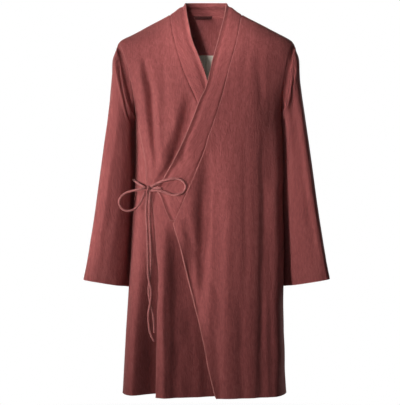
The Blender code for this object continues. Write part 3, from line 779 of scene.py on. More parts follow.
heights = rows_between(HEM, NECK_POINT)
over_angles = across_panel(
    angle_at(OVER_EDGE("x", heights), heights), panel_end(1, heights), 300
)
over_net = on_body(over_angles, heights[:, None], over_lift, OVER_FOLDS, 10)
over_grain = grain_at(over_angles, heights[:, None])
over_front = cloth("over_front_cloth", over_net, ("fold", "seam", "fold", "seam"), grain=over_grain)
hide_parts("over_front")

side_start = np.where(
    heights > SIDE_SEAM.keys[-1], panel_end(-1, heights), angle_at(SIDE_SEAM("x", heights), heights)
)
under_angles = across_panel(side_start, angle_at(UNDER_EDGE("x", heights), heights), 290)
under_net = on_body(under_angles, heights[:, None], under_lift, under_folds, 20)
under_net[..., 1] += gape_depth(under_net[..., 0], heights[:, None])
under_grain = grain_at(under_angles, heights[:, None])
under_front = cloth("under_front_cloth", under_net, ("fold", "seam", "fold", "seam"), grain=under_grain)
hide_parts("under_front")

side_heights = rows_between(HEM, SIDE_SEAM.keys[-1])
underlap = SLIT_UNDERLAP * smooth(side_heights, -500, -600)
side_angles = across_panel(
    panel_end(-1, side_heights),
    angle_at(SIDE_SEAM("x", side_heights) + underlap, side_heights),
    70,
)
side_net = on_body(side_angles, side_heights[:, None], no_lift, UNDER_FOLDS + SIDE_FOLDS, 20)
side_net[..., 1] += slit_depth(side_net[..., 0], side_heights[:, None])
side_grain = grain_at(side_angles, side_heights[:, None])
side_panel = cloth("side_panel_cloth", side_net, ("seam", "fold", "fold", "seam"), grain=side_grain)
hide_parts("side_panel")


def neckline(angle):
    """Height of the back's neck seam, which rises a little behind the neck."""
    return NECK_POINT + NECK_RISE * np.cos(np.radians(angle)) ** 2


back_angles = across_panel(
    panel_end(1, heights, True), 360 + panel_end(-1, heights, True), 560, 4.4
)
back_heights = heights[:, None] + (neckline(back_angles) - NECK_POINT) * smooth(
    heights[:, None], SHOULDER_TIP, NECK_POINT
)
back_net = on_body(back_angles, back_heights, no_lift, BACK_FOLDS, 30, behind=True)
back_grain = grain_at(back_angles, back_heights)
back = cloth("back_cloth", back_net, ("seam", "seam", "fold", "seam"), grain=back_grain)
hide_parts("back")

# %% [markdown]
# ## The crossed collar band
#
# The collar is one long strip, folded double. It starts at the tie, runs up the over front, round
# the back of the neck and down the under front. Its inner edge is a fold, and its outer edge is
# sewn to the panels, so its seam is worked out from the panels' own edges. Across its width it
# rolls: a raised fold, a soft hollow beside it, then flat cloth and the ditch of the seam.

# %% Collar band
BAND_COLUMNS = 16
BAND_WALL = 2.4
NECK_STEP = 3.0
EDGE_RISE = 1.2
HOLLOW_AT = 10.0
HOLLOW_WIDTH = 6.0
HOLLOW_DEPTH = 3.2


def before_body(x, z, lift):
    """Points before the body at these x, also above the shoulders, where the collar stands free."""
    low = np.minimum(z, SHOULDER_TIP)
    point = on_form(angle_at(x, low), low)
    normal = form_normal(angle_at(x, low), low)
    point = point + normal * lift(point[..., 0], low)[..., None]
    standing = smooth(z, SHOULDER_TIP, 38)
    level = np.stack([x, -BODY("front", low), low], -1)
    free = np.stack([x, -BODY("front", z), z], -1) + (point - level) * (1 - standing)[..., None]
    return np.where((z < SHOULDER_TIP)[..., None], point, free)


def front_band(collar, edge, lift, folds, seed, heights, share):
    """Net of one front length, a row for each height, from its folded edge to its seam."""
    seam_angle = angle_at(edge("x", heights), heights)
    seam = on_body(seam_angle, heights, lift, folds, seed)
    fold = before_body(collar("edge_x", heights), collar("edge_height", heights), lift)
    flat = blend(fold[:, None], seam[:, None], share[None, :, None])
    draped = before_body(flat[..., 0], flat[..., 2], lift)
    draped[..., 1] -= folded(folds, flat[..., 0], flat[..., 2]) * share
    hug = smooth(heights, -25, -92)[:, None] * smooth(share, 0, 0.1) * (1 - smooth(share, 0.9, 1))
    return blend(flat, draped, hug[..., None])


band_share = spread(46, 46 / BAND_COLUMNS)
over_heights = rows_between(COLLAR_END, NECK_POINT)
over_band = front_band(OVER_COLLAR, OVER_EDGE, over_lift, OVER_FOLDS, 10, over_heights, band_share)
under_band = front_band(UNDER_COLLAR, UNDER_EDGE, under_lift, under_folds, 20, over_heights, band_share)
neck_angles = np.arange(90 + NECK_STEP, 270, NECK_STEP)
neck_seam = on_form(neck_angles, neckline(neck_angles))
behind = -np.cos(np.radians(neck_angles))
edge_x, edge_z = float(OVER_COLLAR("edge_x", NECK_POINT)), float(OVER_COLLAR("edge_height", NECK_POINT))
neck_fold = np.stack(
    [
        edge_x * np.sin(np.radians(neck_angles)),
        blend(-BODY("front", edge_z), BACK_COLLAR_Y, behind),
        blend(edge_z, BACK_COLLAR_HEIGHT, behind),
    ],
    axis=-1,
)
neck_band = blend(neck_fold[:, None], neck_seam[:, None], band_share[None, :, None])
band_net = np.concatenate([over_band, neck_band, under_band[::-1]])
for _ in range(10):
    middle = (band_net[2:] + band_net[:-2]) / 2
    near_neck = smooth(band_net[1:-1, :, 2:], -60, -10)
    band_net[1:-1] += 0.5 * (middle - band_net[1:-1]) * near_neck
band_normal = grid_normal(band_net, False)
from_fold = lengths_along(band_net, 1)
roll = EDGE_RISE * np.exp(-((from_fold / 5) ** 2))
roll = roll - HOLLOW_DEPTH * np.exp(-(((from_fold - HOLLOW_AT) / HOLLOW_WIDTH) ** 2))
along_band = lengths_along(band_net, 0)
roll = roll + 0.8 * crinkle(from_fold / 30, along_band / 60, 41) * smooth(from_fold, 2, 12)
roll = roll + 0.35 * crinkle(from_fold / 9, along_band / 26, 42) * smooth(from_fold, 2, 12)
BAND_DENTS = ((-62, -374, 9, 20, -8.0), (-76, -404, 7, 14, -4.0), (-92, -452, 8, 15, -1.6))
for dent_x, dent_z, half_x, half_z, depth in BAND_DENTS:
    away = ((band_net[..., 0] - dent_x) / half_x) ** 2 + ((band_net[..., 2] - dent_z) / half_z) ** 2
    on_over = np.arange(len(band_net))[:, None] < len(over_band)
    roll = roll + depth * np.exp(-away) * on_over * smooth(from_fold, 1, 7)
band_net = band_net - band_normal * roll[..., None] * -1
collar = cloth("collar_band", band_net, ("fold", "seam", "fold", "fold"), wall=BAND_WALL)
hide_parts("collar_over", "collar_back", "collar_under")

# %% [markdown]
# ## Inside the neck
#
# Three things show in the neck opening: a facing of the coat's own cloth, the pale half lining
# below it with its pleat, and the hanger loop. All of them lie on the inside of the back, so each is
# worked out from the back's own form, moved in by the thicknesses of what it lies on.

# %% Facing, lining and loop
FACING_HALF_WIDTH = 84.0
FACING_LOW = -94.0
FACING_TOP = 3.0
LINING_LOW = -450.0
LINING_HALF_WIDTH = 158.0
INSIDE_GAP = 2.6
THIN_WALL = 1.0
PLEAT_DEPTH = 5.0
LOOP_FROM, LOOP_TO = -33.0, 17.0
LOOP_HEIGHT = 7.0


def inside_back(x_share, half_width, heights, inward):
    """Net on the inner side of the back, x_share from -1 to 1 across it."""
    angle = angle_at(half_width * x_share[None, :], heights[:, None], behind=True)
    angle = np.where(angle < 0, angle + 360, angle)
    towards_neck = smooth(heights[:, None], SHOULDER_TIP, NECK_POINT)
    high = heights[:, None] + (neckline(angle) - NECK_POINT) * towards_neck
    point, normal = on_form(angle, high), form_normal(angle, high)
    x, z = point[..., 0], point[..., 2]
    raised = fold_lift(BACK_FOLDS, x, z) * (1 - 0.75 * smooth(z, -60, 0))
    return point + normal * (raised - inward)[..., None]


facing_heights = np.linspace(FACING_LOW, FACING_TOP, 28)
facing_share = np.linspace(-1, 1, 45)
facing_in = INSIDE_GAP + 0.4 * crinkle(facing_share[None, :] * 9, facing_heights[:, None] / 30, 51)
facing_net = inside_back(facing_share, FACING_HALF_WIDTH, facing_heights, facing_in)
facing = cloth(
    "neck_facing", facing_net, ("fold", "fold", "fold", "plain"), wall=THIN_WALL, turn_round=True
)
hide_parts("back_facing")

lining_heights = np.linspace(LINING_LOW, FACING_LOW + 1, 90)
lining_share = np.sort(np.concatenate([np.linspace(-1, 1, 81), [-0.011, -0.004, 0.004, 0.011]]))
pleat = PLEAT_DEPTH * np.exp(-(((lining_share[None, :] * LINING_HALF_WIDTH + 3) / 9) ** 2))
pleat = pleat * np.where(lining_share[None, :] > 0.002, 0.25, 1.0)
lining_in = INSIDE_GAP + 0.9 + pleat + 1.2 * crinkle(
    lining_share[None, :] * 9 + 4, lining_heights[:, None] / 110, 55
)
lining_net = inside_back(lining_share, LINING_HALF_WIDTH, lining_heights, lining_in)
lining = cloth(
    "half_lining", lining_net, ("fold", "fold", "fold", "seam"), wall=THIN_WALL, turn_round=True
)
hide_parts("back_lining")

loop_share = np.linspace(LOOP_FROM, LOOP_TO, 30) / FACING_HALF_WIDTH
loop_heights = np.linspace(FACING_TOP + 3 - LOOP_HEIGHT, FACING_TOP + 3, 7)
loop_run = np.linspace(0, 1, 30)
loop_bow = 2.2 * np.sin(np.pi * loop_run)[None, :] ** 0.5
loop_in = INSIDE_GAP + THIN_WALL + 1.6 + loop_bow + 0 * loop_heights[:, None]
loop_net = inside_back(loop_share, FACING_HALF_WIDTH, loop_heights, loop_in)
loop = cloth("hanger_loop_cloth", loop_net, ("plain", "plain", "plain", "plain"), wall=1.2, turn_round=True)
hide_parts("hanger_loop")

# %% [markdown]
# ## Sleeves
#
# A set-in sleeve is a tube whose head is sewn into the armhole. Seen from the front its outer and
# inner lines are known, so each ring is a tilted oval between the two, and the first ring is the
# armhole itself, taken from the eased form. The rings turn from the underarm, where the sleeve's
# own seam runs, and the head sinks a little just beside the armhole seam.

# %% Sleeves
SLEEVE_COLUMNS = "ring out_x out_z in_x in_z half_depth in_back out_front".split()
SLEEVE_STEPS = 168
SLEEVE_OVAL = 0.8
SLEEVE_TUCK = (5.5, 12.0)
HEAD_FOLD = 7.0
HEAD_PUFF = 5.0
SLEEVES = {
    "sleeve_right": Sizes(
        SLEEVE_COLUMNS,
        (1, 241, -84, 194.5, -274, 66, 2, 0),
        (2, 247, -112, 195.5, -284, 66, 8, 0),
        (3, 252, -150, 195.5, -300, 65, 11, 0),
        (4, 257, -205, 195, -326, 64, 13, 0),
        (5, 265, -275, 194.5, -366, 62, 14, 1),
        (6, 275, -345, 194.5, -412, 60, 14, 2),
        (7, 287, -440, 198, -484, 58, 13, 4),
        (8, 300, -535, 203, -564, 54, 12, 6),
        (9, 313, -616, 208, -640, 50, 11, 8),
        (10, 323, -675, 211, -697, 47, 10, 9),
        (11, 329, -709, 213, -728, 45, 10, 9),
    ),
    "sleeve_left": Sizes(
        SLEEVE_COLUMNS,
        (1, 241, -84, 206.5, -274, 66, 2, 0),
        (2, 246, -112, 207.5, -284, 66, 8, 0),
        (3, 251, -150, 207.5, -300, 65, 15, 1),
        (4, 257, -205, 207, -326, 64, 21, 3),
        (5, 267, -275, 206.5, -366, 62, 24, 6),
        (6, 277, -345, 206.5, -412, 60, 24, 10),
        (7, 290, -440, 207, -484, 58, 22, 15),
        (8, 303, -535, 207.5, -564, 54, 20, 20),
        (9, 316, -616, 208, -640, 50, 18, 24),
        (10, 326, -675, 209, -697, 47, 16, 26),
        (11, 332, -706, 211, -727, 45, 15, 26),
    ),
}
# Folds of a sleeve: where it starts and ends, by ring and by turn, its half-width in degrees, and
# its depth. A turn of 90 is the front, 0 the outer line and 180 the inner one.
SLEEVE_FOLD_COLUMNS = "top_ring top_turn low_ring low_turn half_width depth to_cuff".split()
SLEEVE_FOLDS = {
    "sleeve_right": (
        (0.2, 16, 3.8, 108, 13, 4.0, 0),
        (0.2, 38, 3.8, 134, 13, -7.0, 0),
        (2.4, 112, 7.6, 134, 13, 4.0, 0),
        (2.4, 136, 7.6, 158, 14, -7.0, 0),
        (6.0, 166, 11, 150, 14, -7.0, 1),
        (4.0, 112, 10.0, 96, 14, 2.4, 0),
        (3.0, 62, 8.0, 54, 12, -1.8, 0),
        (6.6, 92, 11, 76, 11, -1.8, 1),
        (6.0, 210, 11, 232, 16, -4.0, 1),
        (3.0, 250, 8.0, 262, 13, -2.4, 0),
        (5.5, 300, 10.5, 292, 14, -2.2, 0),
    ),
    "sleeve_left": (
        (0.4, 48, 3.2, 100, 12, -4.2, 0),
        (0.6, 26, 3.0, 60, 12, -1.8, 0),
        (1.6, 94, 10.2, 66, 16, -11.0, 0),
        (4.5, 126, 10.6, 112, 13, 2.2, 0),
        (6.4, 150, 11, 140, 12, -2.6, 1),
        (7.0, 66, 11, 48, 12, -2.2, 1),
        (6.0, 212, 11, 234, 16, -4.0, 1),
        (3.0, 250, 8.0, 264, 13, -2.4, 0),
        (5.5, 302, 10.5, 292, 14, -2.2, 0),
    ),
}


def sleeve_net(side, table, folds, seed):
    share = np.arange(2 * ARMHOLE_STEPS) / (2 * ARMHOLE_STEPS)
    turn = (180 + 360 * share)[None, :] % 360
    last = table.keys[-1]
    cuff = last - np.array(RIM_STEPS)[::-1] / 58
    ring = np.concatenate([[0.0, 0.02, 0.045], np.linspace(0.08, cuff[0], SLEEVE_STEPS), cuff[1:]])
    ring = ring[:, None]
    front = np.where(turn > 180, 360 - turn, turn)
    _, _, seam_z = armhole(side, front)
    end = np.clip(section(side, np.broadcast_to(seam_z, turn.shape), False)[2], 0, 90)
    end_behind = np.clip(section(side, np.broadcast_to(seam_z, turn.shape), True)[2], 0, 90)
    seam = on_form(side * np.where(turn > 180, 180 - end_behind, end), seam_z)
    rise = signed_power(np.cos(np.radians(turn)), SLEEVE_OVAL)
    reach = signed_power(np.sin(np.radians(turn)), SLEEVE_OVAL)
    part = (1 + rise) / 2
    x = side * blend(table("in_x", ring), table("out_x", ring), part)
    z = blend(table("in_z", ring), table("out_z", ring), part)
    y = blend(table("in_back", ring), -table("out_front", ring), part) - table("half_depth", ring) * reach
    inner = smooth(ring, 0.2, 2.5) * smooth(-rise, 0.45, 0.95)
    x, y = x - side * SLEEVE_TUCK[0] * inner, y + SLEEVE_TUCK[1] * inner
    tube = np.stack([x, y, z], -1)
    net = blend(seam, tube, smooth(ring, 0, 1)[..., None])
    normal = grid_normal(net, True) * side
    lift = np.zeros(net.shape[:2])
    for top_ring, top_turn, low_ring, low_turn, half_width, depth, to_cuff in folds:
        t = np.clip((ring - top_ring) / (low_ring - top_ring), 0, 1)
        inside = np.where((ring > top_ring) & (ring <= low_ring), 1.0, 0.0)
        strength = smooth(t, 0, 0.45) if to_cuff else np.sin(np.pi * t) ** 0.8
        off = (turn - blend(top_turn, low_turn, t) + 180) % 360 - 180
        away = (off + 4 * crinkle(ring * 1.3, ring * 0 + 7 * depth, seed)) / half_width
        profile = np.exp(-(away**2)) - SHOULDER_OF_FOLD * np.exp(-((away / SHOULDER_SPREAD) ** 2))
        lift = lift + depth * strength * inside * profile
    around = 64 * share[None, :]
    lift = lift + 0.9 * crinkle(around / 4, ring * 0.55, seed + 1)
    lift = lift + 0.55 * crinkle(around, ring * 1.5, seed + 2)
    head = smooth(rise, 0.995, 0.93) * smooth(rise, -0.98, -0.8)
    lift = lift - HEAD_FOLD * np.exp(-(((ring - 0.55) / 0.4) ** 2)) * head
    lift = lift + HEAD_PUFF * np.exp(-(((ring - 2.1) / 0.9) ** 2)) * head
    return net + normal * (lift * smooth(ring, 0, 0.35))[..., None]


for name, side in (("sleeve_right", -1), ("sleeve_left", 1)):
    net_of_sleeve = sleeve_net(side, SLEEVES[name], SLEEVE_FOLDS[name], 60 + side)
    sleeve = cloth(
        name + "_cloth", net_of_sleeve, ("none", "none", "seam", "fold"), closed=True, turn_round=side < 0
    )
    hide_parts(name + "_upper", name + "_lower")

# %% [markdown]
# ## Ties and bow
#
# The ties are narrow tubes of the coat's cloth, pressed a little flat. Each one follows its own
# smooth route from place to place, clear of the cloth behind it. A circle is extruded along the
# route ring by ring, so the tube keeps its width in every bend. The knot is the one place where
# the strand wraps: a core that holds the crossing, with two turns round it and one strand across.

# %% Ties
TIE_WIDTH = 6.0
TIE_THICKNESS = 4.0
TIE_SIDES = 12
TIE_STEP = 4.0
KNOT = (-152.0, -93.0, -464.0)
TIE_ROUTES = {
    "tie_side": (
        (-194, -12, -438),
        (-191.5, -36, -443),
        (-181, -60, -450),
        (-170, -76, -456),
        (-159.2, -87.6, -464.2),
    ),
    "tie_front": ((-118, -106.6, -463), (-129, -102, -463), (-138, -96, -463.5), (-142.7, -90.5, -464)),
    "bow_loop_outer": (
        (-159.8, -95, -462),
        (-174, -96, -466),
        (-190, -93, -469),
        (-209, -88, -474),
        (-223, -84, -483),
        (-230.5, -82, -497),
        (-227.5, -81, -512),
        (-219, -81, -520),
        (-206, -82, -523.5),
        (-190, -84, -518),
        (-177, -88, -506),
        (-168, -92, -489),
        (-161, -95, -471),
    ),
    "bow_loop_inner": (
        (-147.3, -97.4, -459.9),
        (-126, -110, -449),
        (-106, -117, -442),
        (-86, -122, -438),
        (-70, -124, -440),
        (-59, -124.5, -447),
        (-54, -124, -460),
        (-60, -123.5, -473),
        (-74, -122, -480),
        (-87, -119.5, -481),
        (-101, -115.5, -477),
        (-118, -110, -471),
        (-133, -104, -469),
        (-146.8, -98.2, -469),
    ),
    "tie_tail_long": (
        (-155.2, -92.5, -472.3),
        (-159, -88, -515),
        (-157, -91, -560),
        (-155, -95.5, -606),
        (-154, -100, -652),
        (-152, -112, -697),
        (-145, -118, -731),
        (-147, -119, -764),
        (-152, -117, -795),
        (-150, -119, -828),
        (-145, -122, -849),
        (-136, -125, -866),
    ),
    "tie_tail_short": (
        (-148.8, -92.5, -472.3),
        (-150, -89.6, -515),
        (-149, -93, -556),
        (-147, -98, -606),
        (-145.6, -102.6, -652),
        (-148, -105, -697),
        (-152, -105.6, -731),
        (-147, -110.8, -766),
        (-140, -116.8, -795),
        (-137, -120, -820),
        (-136.5, -122, -843),
    ),
}


def smooth_route(places, spacing):
    """Points at even steps along a smooth curve through the places."""
    p = np.array(places, float)
    p = np.concatenate([[2 * p[0] - p[1]], p, [2 * p[-1] - p[-2]]])
    t = np.linspace(0, 1, 24, endpoint=False)[:, None]
    dense = []
    for a, b, c, d in zip(p, p[1:], p[2:], p[3:]):
        square = 2 * a - 5 * b + 4 * c - d
        cube = 3 * b - a - 3 * c + d
        dense.append(0.5 * (2 * b + (c - a) * t + square * t**2 + cube * t**3))
    dense = np.concatenate(dense + [p[-2:-1]])
    far = np.concatenate([[0], np.cumsum(np.linalg.norm(np.diff(dense, axis=0), axis=1))])
    even = np.linspace(0, far[-1], max(4, round(far[-1] / spacing)) + 1)
    return np.stack([np.interp(even, far, dense[:, k]) for k in range(3)], -1), far[-1]


def tube_along(shape, route, width, thickness, facing=(0, -1, 0)):
    """Extrudes an oval ring along a route. The thin way of the oval looks towards facing."""
    along = np.gradient(route, axis=0)
    along /= np.linalg.norm(along, axis=1, keepdims=True)
    made = bmesh.ops.create_circle(shape, segments=TIE_SIDES, radius=1, cap_ends=True)
    ring = made["verts"]
    start_face = ring[0].link_faces[0]
    turns = [math.atan2(vert.co.y, vert.co.x) for vert in ring]
    edges = list(start_face.edges)
    order = ring
    for step, (point, ahead) in enumerate(zip(route, along)):
        if step:
            grown = bmesh.ops.extrude_edge_only(shape, edges=edges)
            edges = [item for item in grown["geom"] if isinstance(item, bmesh.types.BMEdge)]
            fresh = [item for item in grown["geom"] if isinstance(item, bmesh.types.BMVert)]
            beside = {}
            for vert in fresh:
                others = [e.other_vert(vert) for e in vert.link_edges]
                beside[next(other for other in others if other in set(order))] = vert
            order = [beside[vert] for vert in order]
            edges = [e for e in edges if all(v in set(order) for v in e.verts)]
        across = np.cross(ahead, facing)
        across /= max(np.linalg.norm(across), 1e-6)
        out = np.cross(across, ahead)
        end = min(step, len(route) - 1 - step)
        size = (0.7, 0.93)[end] if end < 2 else 1.0
        for vert, turn in zip(order, turns):
            place = point + size * (
                across * width / 2 * math.cos(turn) + out * thickness / 2 * math.sin(turn)
            )
            vert.co = place * METRES
    bmesh.ops.contextual_create(shape, geom=order)


def finish_tube(name, shape):
    bmesh.ops.recalc_face_normals(shape, faces=shape.faces)
    mesh = bpy.data.meshes.new(name)
    shape.to_mesh(mesh)
    shape.free()
    mesh.shade_smooth()
    made = bpy.data.objects.new(name, mesh)
    scene.collection.objects.link(made)
    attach(made, "root")
    return made


ties = []
for name, places in TIE_ROUTES.items():
    route, length = smooth_route(places, TIE_STEP)
    shape = bmesh.new()
    tube_along(shape, route, TIE_WIDTH, TIE_THICKNESS)
    tie = finish_tube(name + "_cloth", shape)
    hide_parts(name)
    ties.append(tie)
    print(f"{name}: {length:.0f} mm long")

# %% The knot
shape = bmesh.new()
bmesh.ops.create_uvsphere(shape, u_segments=20, v_segments=14, radius=METRES)
bmesh.ops.scale(shape, vec=Vector((5.6, 4.2, 6.4)), verts=shape.verts)
bmesh.ops.translate(shape, vec=Vector(KNOT) * METRES, verts=shape.verts)
for lean, shift in ((14, -1.6), (-10, 2.0)):
    turn = np.radians(np.arange(0, 361, 15))
    lean = math.radians(lean)
    loop_route = np.stack(
        [
            KNOT[0] + shift + 6.4 * np.sin(turn) * math.sin(lean),
            KNOT[1] - 4.6 * np.cos(turn),
            KNOT[2] + 6.4 * np.sin(turn) * math.cos(lean),
        ],
        -1,
    )
    tube_along(shape, loop_route, 4.4, 3.0, facing=(math.cos(lean), 0, math.sin(lean)))
knot = finish_tube("tie_knot_cloth", shape)
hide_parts("tie_knot")

# %% [markdown]
# ## A short way to write shaders
#
# A material is a small program of nodes. One class wraps a socket, so that plain Python expressions
# add the Math nodes, and one method makes any other node: its settings come first, then its values
# or links.

# %% Shader helper
class Socket:
    """A node's output that can be used in expressions."""

    def __init__(self, sheet, output):
        self.sheet, self.output = sheet, output

    def math(self, operation, *others):
        return self.sheet.node("Math", {"operation": operation}, self, *others)

    def __add__(self, other):
        return self.math("ADD", other)

    def __sub__(self, other):
        return self.math("SUBTRACT", other)

    def __mul__(self, other):
        return self.math("MULTIPLY", other)

    def __rsub__(self, other):
        return self.sheet.node("Math", {"operation": "SUBTRACT"}, other, self)

    __radd__ = __add__
    __rmul__ = __mul__


class Shader:
    """The node tree of one material."""

    def __init__(self, name):
        self.material = bpy.data.materials.new(name)
        self.material.use_nodes = True
        self.tree = self.material.node_tree
        self.cloth = self.tree.nodes["Principled BSDF"]

    def node(self, kind, settings, *values, output=0, **named):
        made = self.tree.nodes.new("ShaderNode" + kind)
        for key, value in settings.items():
            if key == "stops":
                ramp = made.color_ramp.elements
                while len(ramp) < len(value):
                    ramp.new(0.5)
                for stop, (place, colour) in zip(ramp, value):
                    stop.position, stop.color = place, (*colour, 1)
            else:
                setattr(made, key, value)
        for key, value in [*enumerate(values), *named.items()]:
            socket = made.inputs[key if isinstance(key, int) else key.replace("_", " ")]
            self.feed(socket, value)
        return Socket(self, made.outputs[output])

    def feed(self, socket, value):
        if isinstance(value, Socket):
            self.tree.links.new(value.output, socket)
        elif value is not None:
            socket.default_value = value

    def mix(self, factor, first, second):
        """Colour between two colours."""
        made = self.tree.nodes.new("ShaderNodeMix")
        made.data_type = "RGBA"
        for key, value in ((0, factor), (6, first), (7, second)):
            self.feed(made.inputs[key], (*value, 1) if isinstance(value, tuple) else value)
        return Socket(self, made.outputs[2])

    def grain(self, across, along, where, detail=2.0, offset=0.0, **more):
        """Noise from 0 to 1, so many waves a metre across and along the cloth."""
        scaled = self.node(
            "Mapping", {}, Vector=where, Scale=(across, along, 1), Location=(offset, offset, 0)
        )
        flat = {"noise_dimensions": "2D"}
        return self.node("TexNoise", flat, Vector=scaled, Scale=1.0, Detail=detail, **more)

    def stretch(self, value, low, high, to_low=0.0, to_high=1.0):
        return self.node("MapRange", {"clamp": True}, value, low, high, to_low, to_high)


# %% [markdown]
# ## The red cloth
#
# The coat is woven from uneven yarn. Thick places in the upright yarns, called slubs, give short
# upright streaks that are lighter and darker by turns. A raised irregular figure, like bark, lies
# over them. Along the folded edges the colour is paler: a painted highlight, where the edge would
# catch the light. All of that follows the UV map in metres, so the streaks run along the grain on
# every piece, at their real size. The cloth is quite matt, with the soft sheen of fibre ends.

# %% Red cloth
YARNS = 780.0


def red_cloth(name, dark, middle, light, edge_highlight_colour):
    shade = Shader(name)
    weave = shade.node("UVMap", {"uv_map": "weave"})
    slubs = shade.grain(330, 60, weave, detail=3.0)
    long_slubs = shade.grain(170, 18, weave, detail=2.0, offset=3.1)
    bark = shade.grain(120, 60, weave, detail=2.5, offset=7.7, Distortion=0.8)
    cloud = shade.grain(9, 6, weave, detail=2.0, offset=1.3)
    tone = (slubs - 0.5) * 0.6 + (long_slubs - 0.5) * 0.3
    tone = tone + (bark - 0.5) * 0.45 + (cloud - 0.5) * 0.3
    dye = shade.mix(shade.stretch(tone, -0.42, 0.0), dark, middle)
    dye = shade.mix(shade.stretch(tone, 0.0, 0.42), dye, light)
    # Painted highlight: folded edges are mixed halfway towards a paler colour, as if lit along the fold.
    folded = shade.node("Attribute", {"attribute_name": "folded_edge"}, output=2)
    dye = shade.mix(folded * 0.5, dye, edge_highlight_colour)
    bands = {"wave_type": "BANDS", "bands_direction": "X"}
    yarn_u = shade.node("TexWave", bands, Vector=weave, Scale=YARNS / 6.28, Distortion=0.6)
    bands = {"wave_type": "BANDS", "bands_direction": "Y"}
    yarn_v = shade.node("TexWave", bands, Vector=weave, Scale=YARNS / 7.2, Distortion=0.6)
    thread = (yarn_u + yarn_v) * 0.5
    height = (slubs * 0.9 + bark * 1.4 + long_slubs * 0.4) * 0.0006 + thread * 0.00012
    bump = shade.node("Bump", {}, Strength=0.9, Distance=1.0, Height=height)
    shade.feed(shade.cloth.inputs["Base Color"], dye)
    shade.feed(shade.cloth.inputs["Normal"], bump)
    shade.feed(shade.cloth.inputs["Roughness"], shade.stretch(bark, 0.2, 0.8, 0.95, 0.8))
    shade.cloth.inputs["Specular IOR Level"].default_value = 0.25
    shade.cloth.inputs["Sheen Weight"].default_value = 0.12
    shade.cloth.inputs["Sheen Roughness"].default_value = 0.5
    shade.cloth.inputs["Sheen Tint"].default_value = (0.9, 0.55, 0.5, 1)
    return shade.material


# The last colour is the painted highlight along folded edges.
coat_red = red_cloth(
    "coat red cloth", (0.17, 0.0395, 0.04), (0.262, 0.0645, 0.063), (0.36, 0.102, 0.095), (0.5, 0.21, 0.19)
)
# Painted shade: the hanger loop is of the coat's own cloth, but gets this darker copy of its colours so
# that it reads as lying in shadow.
loop_shaded_red = red_cloth(
    "loop cloth in painted shade", (0.06, 0.016, 0.016), (0.09, 0.024, 0.024), (0.13, 0.038, 0.036), (0.2, 0.08, 0.07)
)
loop.data.materials.append(loop_shaded_red)
for piece in (over_front, under_front, side_panel, back, collar, facing):
    piece.data.materials.append(coat_red)
for name in ("sleeve_right_cloth", "sleeve_left_cloth"):
    bpy.data.objects[name].data.materials.append(coat_red)

# %% Cream lining
shade = Shader("cream lining")
weave = shade.node("UVMap", {"uv_map": "weave"})
fine = shade.grain(900, 300, weave, detail=2.0)
soft = shade.grain(14, 5, weave, detail=2.0, offset=2.0)
shade.feed(
    shade.cloth.inputs["Base Color"],
    shade.mix(shade.stretch(fine * 0.5 + soft * 0.5, 0.3, 0.7), (0.55, 0.51, 0.42), (0.72, 0.68, 0.58)),
)
bands = {"wave_type": "BANDS", "bands_direction": "DIAGONAL"}
twill = shade.node("TexWave", bands, Vector=weave, Scale=160.0)
twill_bump = shade.node("Bump", {}, Strength=0.5, Distance=1.0, Height=twill * 0.00008)
shade.feed(shade.cloth.inputs["Normal"], twill_bump)
shade.cloth.inputs["Roughness"].default_value = 0.6
lining.data.materials.append(shade.material)

# %% Tie cloth
shade = Shader("tie cloth")
place = shade.node("TexCoord", {}, output=3)
slubs = shade.node("TexNoise", {}, Vector=place, Scale=260.0, Detail=3.0)
spots = shade.node("TexNoise", {}, Vector=place, Scale=60.0, Detail=2.0)
tone = slubs * 0.6 + spots * 0.4
dye = shade.mix(shade.stretch(tone, 0.32, 0.68), (0.25, 0.07, 0.068), (0.45, 0.16, 0.15))
shade.feed(shade.cloth.inputs["Base Color"], dye)
slub_bump = shade.node("Bump", {}, Strength=0.8, Distance=1.0, Height=slubs * 0.0006)
shade.feed(shade.cloth.inputs["Normal"], slub_bump)
shade.cloth.inputs["Roughness"].default_value = 0.85
shade.cloth.inputs["Specular IOR Level"].default_value = 0.25
shade.cloth.inputs["Sheen Weight"].default_value = 0.15
for piece in ties + [knot]:
    piece.data.materials.append(shade.material)

# %% [markdown]
# ## Floor and light
#
# The coat hangs over a plain pale floor that fades out to the white of the studio, so no horizon
# shows behind it. To the camera the floor glows a little. A tall narrow lamp at the front left and
# one at the left side model the folds: their left flanks are bright and their right flanks dark. A
# narrow beam lights the sleeve, weak lamps the front and the neck, and two lamps the back.

# %% Floor and light
FLOOR_HEIGHT = -1.3
FLOOR_RADIUS = 2.4
FLOOR_GLOW = 0.93
FLOOR_GLOW_SHARE = 0.85
shape = bmesh.new()
bmesh.ops.create_circle(shape, segments=96, radius=FLOOR_RADIUS, cap_ends=True)
bmesh.ops.translate(shape, vec=(0, 0, FLOOR_HEIGHT), verts=shape.verts)
mesh = bpy.data.meshes.new("floor")
shape.to_mesh(mesh)
shape.free()
floor = bpy.data.objects.new("floor", mesh)
scene.collection.objects.link(floor)
shade = Shader("pale floor")
place = shade.node("TexCoord", {}, output=3)
level_place = shade.node("VectorMath", {"operation": "MULTIPLY"}, place, (1, 1, 0))
away = shade.node("VectorMath", {"operation": "LENGTH"}, level_place, output=1)
shade.cloth.inputs["Base Color"].default_value = (0.9, 0.9, 0.9, 1)
shade.cloth.inputs["Roughness"].default_value = 0.9
clear = shade.node("BsdfTransparent", {})
seen = shade.node("LightPath", {})
pale = shade.node("Emission", {}, Color=(FLOOR_GLOW, FLOOR_GLOW, FLOOR_GLOW, 1), Strength=1.0)
lit = shade.node("MixShader", {}, seen * FLOOR_GLOW_SHARE, Socket(shade, shade.cloth.outputs[0]), pale)
fade = shade.node("MixShader", {}, shade.stretch(away, 0.9, FLOOR_RADIUS * 0.92), lit, clear)
shade.tree.links.new(fade.output, shade.tree.nodes["Material Output"].inputs["Surface"])
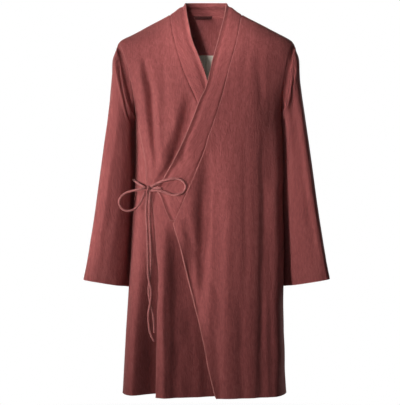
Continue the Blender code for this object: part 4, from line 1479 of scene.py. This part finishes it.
floor.data.materials.append(shade.material)

world = bpy.data.worlds.new("studio")
scene.world = world
world.use_nodes = True
tree = world.node_tree
sky = tree.nodes["Background"]
sky.inputs["Color"].default_value = (1, 1, 1, 1)
SKY_LIGHT = 0.05
seen = tree.nodes.new("ShaderNodeLightPath")
strength = tree.nodes.new("ShaderNodeMix")
strength.inputs[2].default_value = SKY_LIGHT
strength.inputs[3].default_value = 1.0
tree.links.new(seen.outputs["Is Camera Ray"], strength.inputs[0])
tree.links.new(strength.outputs[0], sky.inputs["Strength"])

LIGHTS = (
    ("key", (-1.9, -2.6, -0.33), (0.25, 0, -0.33), (0.3, 1.3), 2.5, 24, (1.0, 0.98, 0.96)),
    ("side", (-1.7, -0.4, -0.33), (-0.3, 0, -0.38), (0.4, 0.6), 2.6, 60, (1.0, 0.98, 0.96)),
    ("sleeve", (-2.1, -2.5, -0.35), (-0.33, 0, -0.42), (0.08, 0.6), 0.13, 6, (1.0, 0.98, 0.96)),
    ("front", (-0.3, -2.2, 0.3), (0.1, 0, -0.2), (0.5, 0.5), 0.5, 50, (1.0, 0.98, 0.97)),
    ("neck", (-0.5, -1.6, 0.4), (0.01, 0.04, -0.05), (0.12, 0.12), 0.18, 14, (1.0, 0.98, 0.97)),
    ("back_right", (-1.0, 2.6, 0.3), (0, 0, -0.45), (0.8, 1.2), 5.0, 60, (1.0, 0.98, 0.97)),
    ("back_left", (1.5, 2.4, 0.2), (0, 0, -0.45), (0.8, 1.2), 3.0, 60, (1.0, 0.98, 0.97)),
)
for name, place, aim, size, power, spread_angle, colour in LIGHTS:
    lamp = bpy.data.lights.new(name, "AREA")
    lamp.shape, lamp.energy, lamp.color = "RECTANGLE", power, colour
    lamp.size, lamp.size_y = size
    made = bpy.data.objects.new(name, lamp)
    made.location = place
    lamp.spread = math.radians(spread_angle)
    made.rotation_euler = (Vector(aim) - Vector(place)).to_track_quat("-Z", "Y").to_euler()
    scene.collection.objects.link(made)
scene.view_settings.view_transform = "Standard"
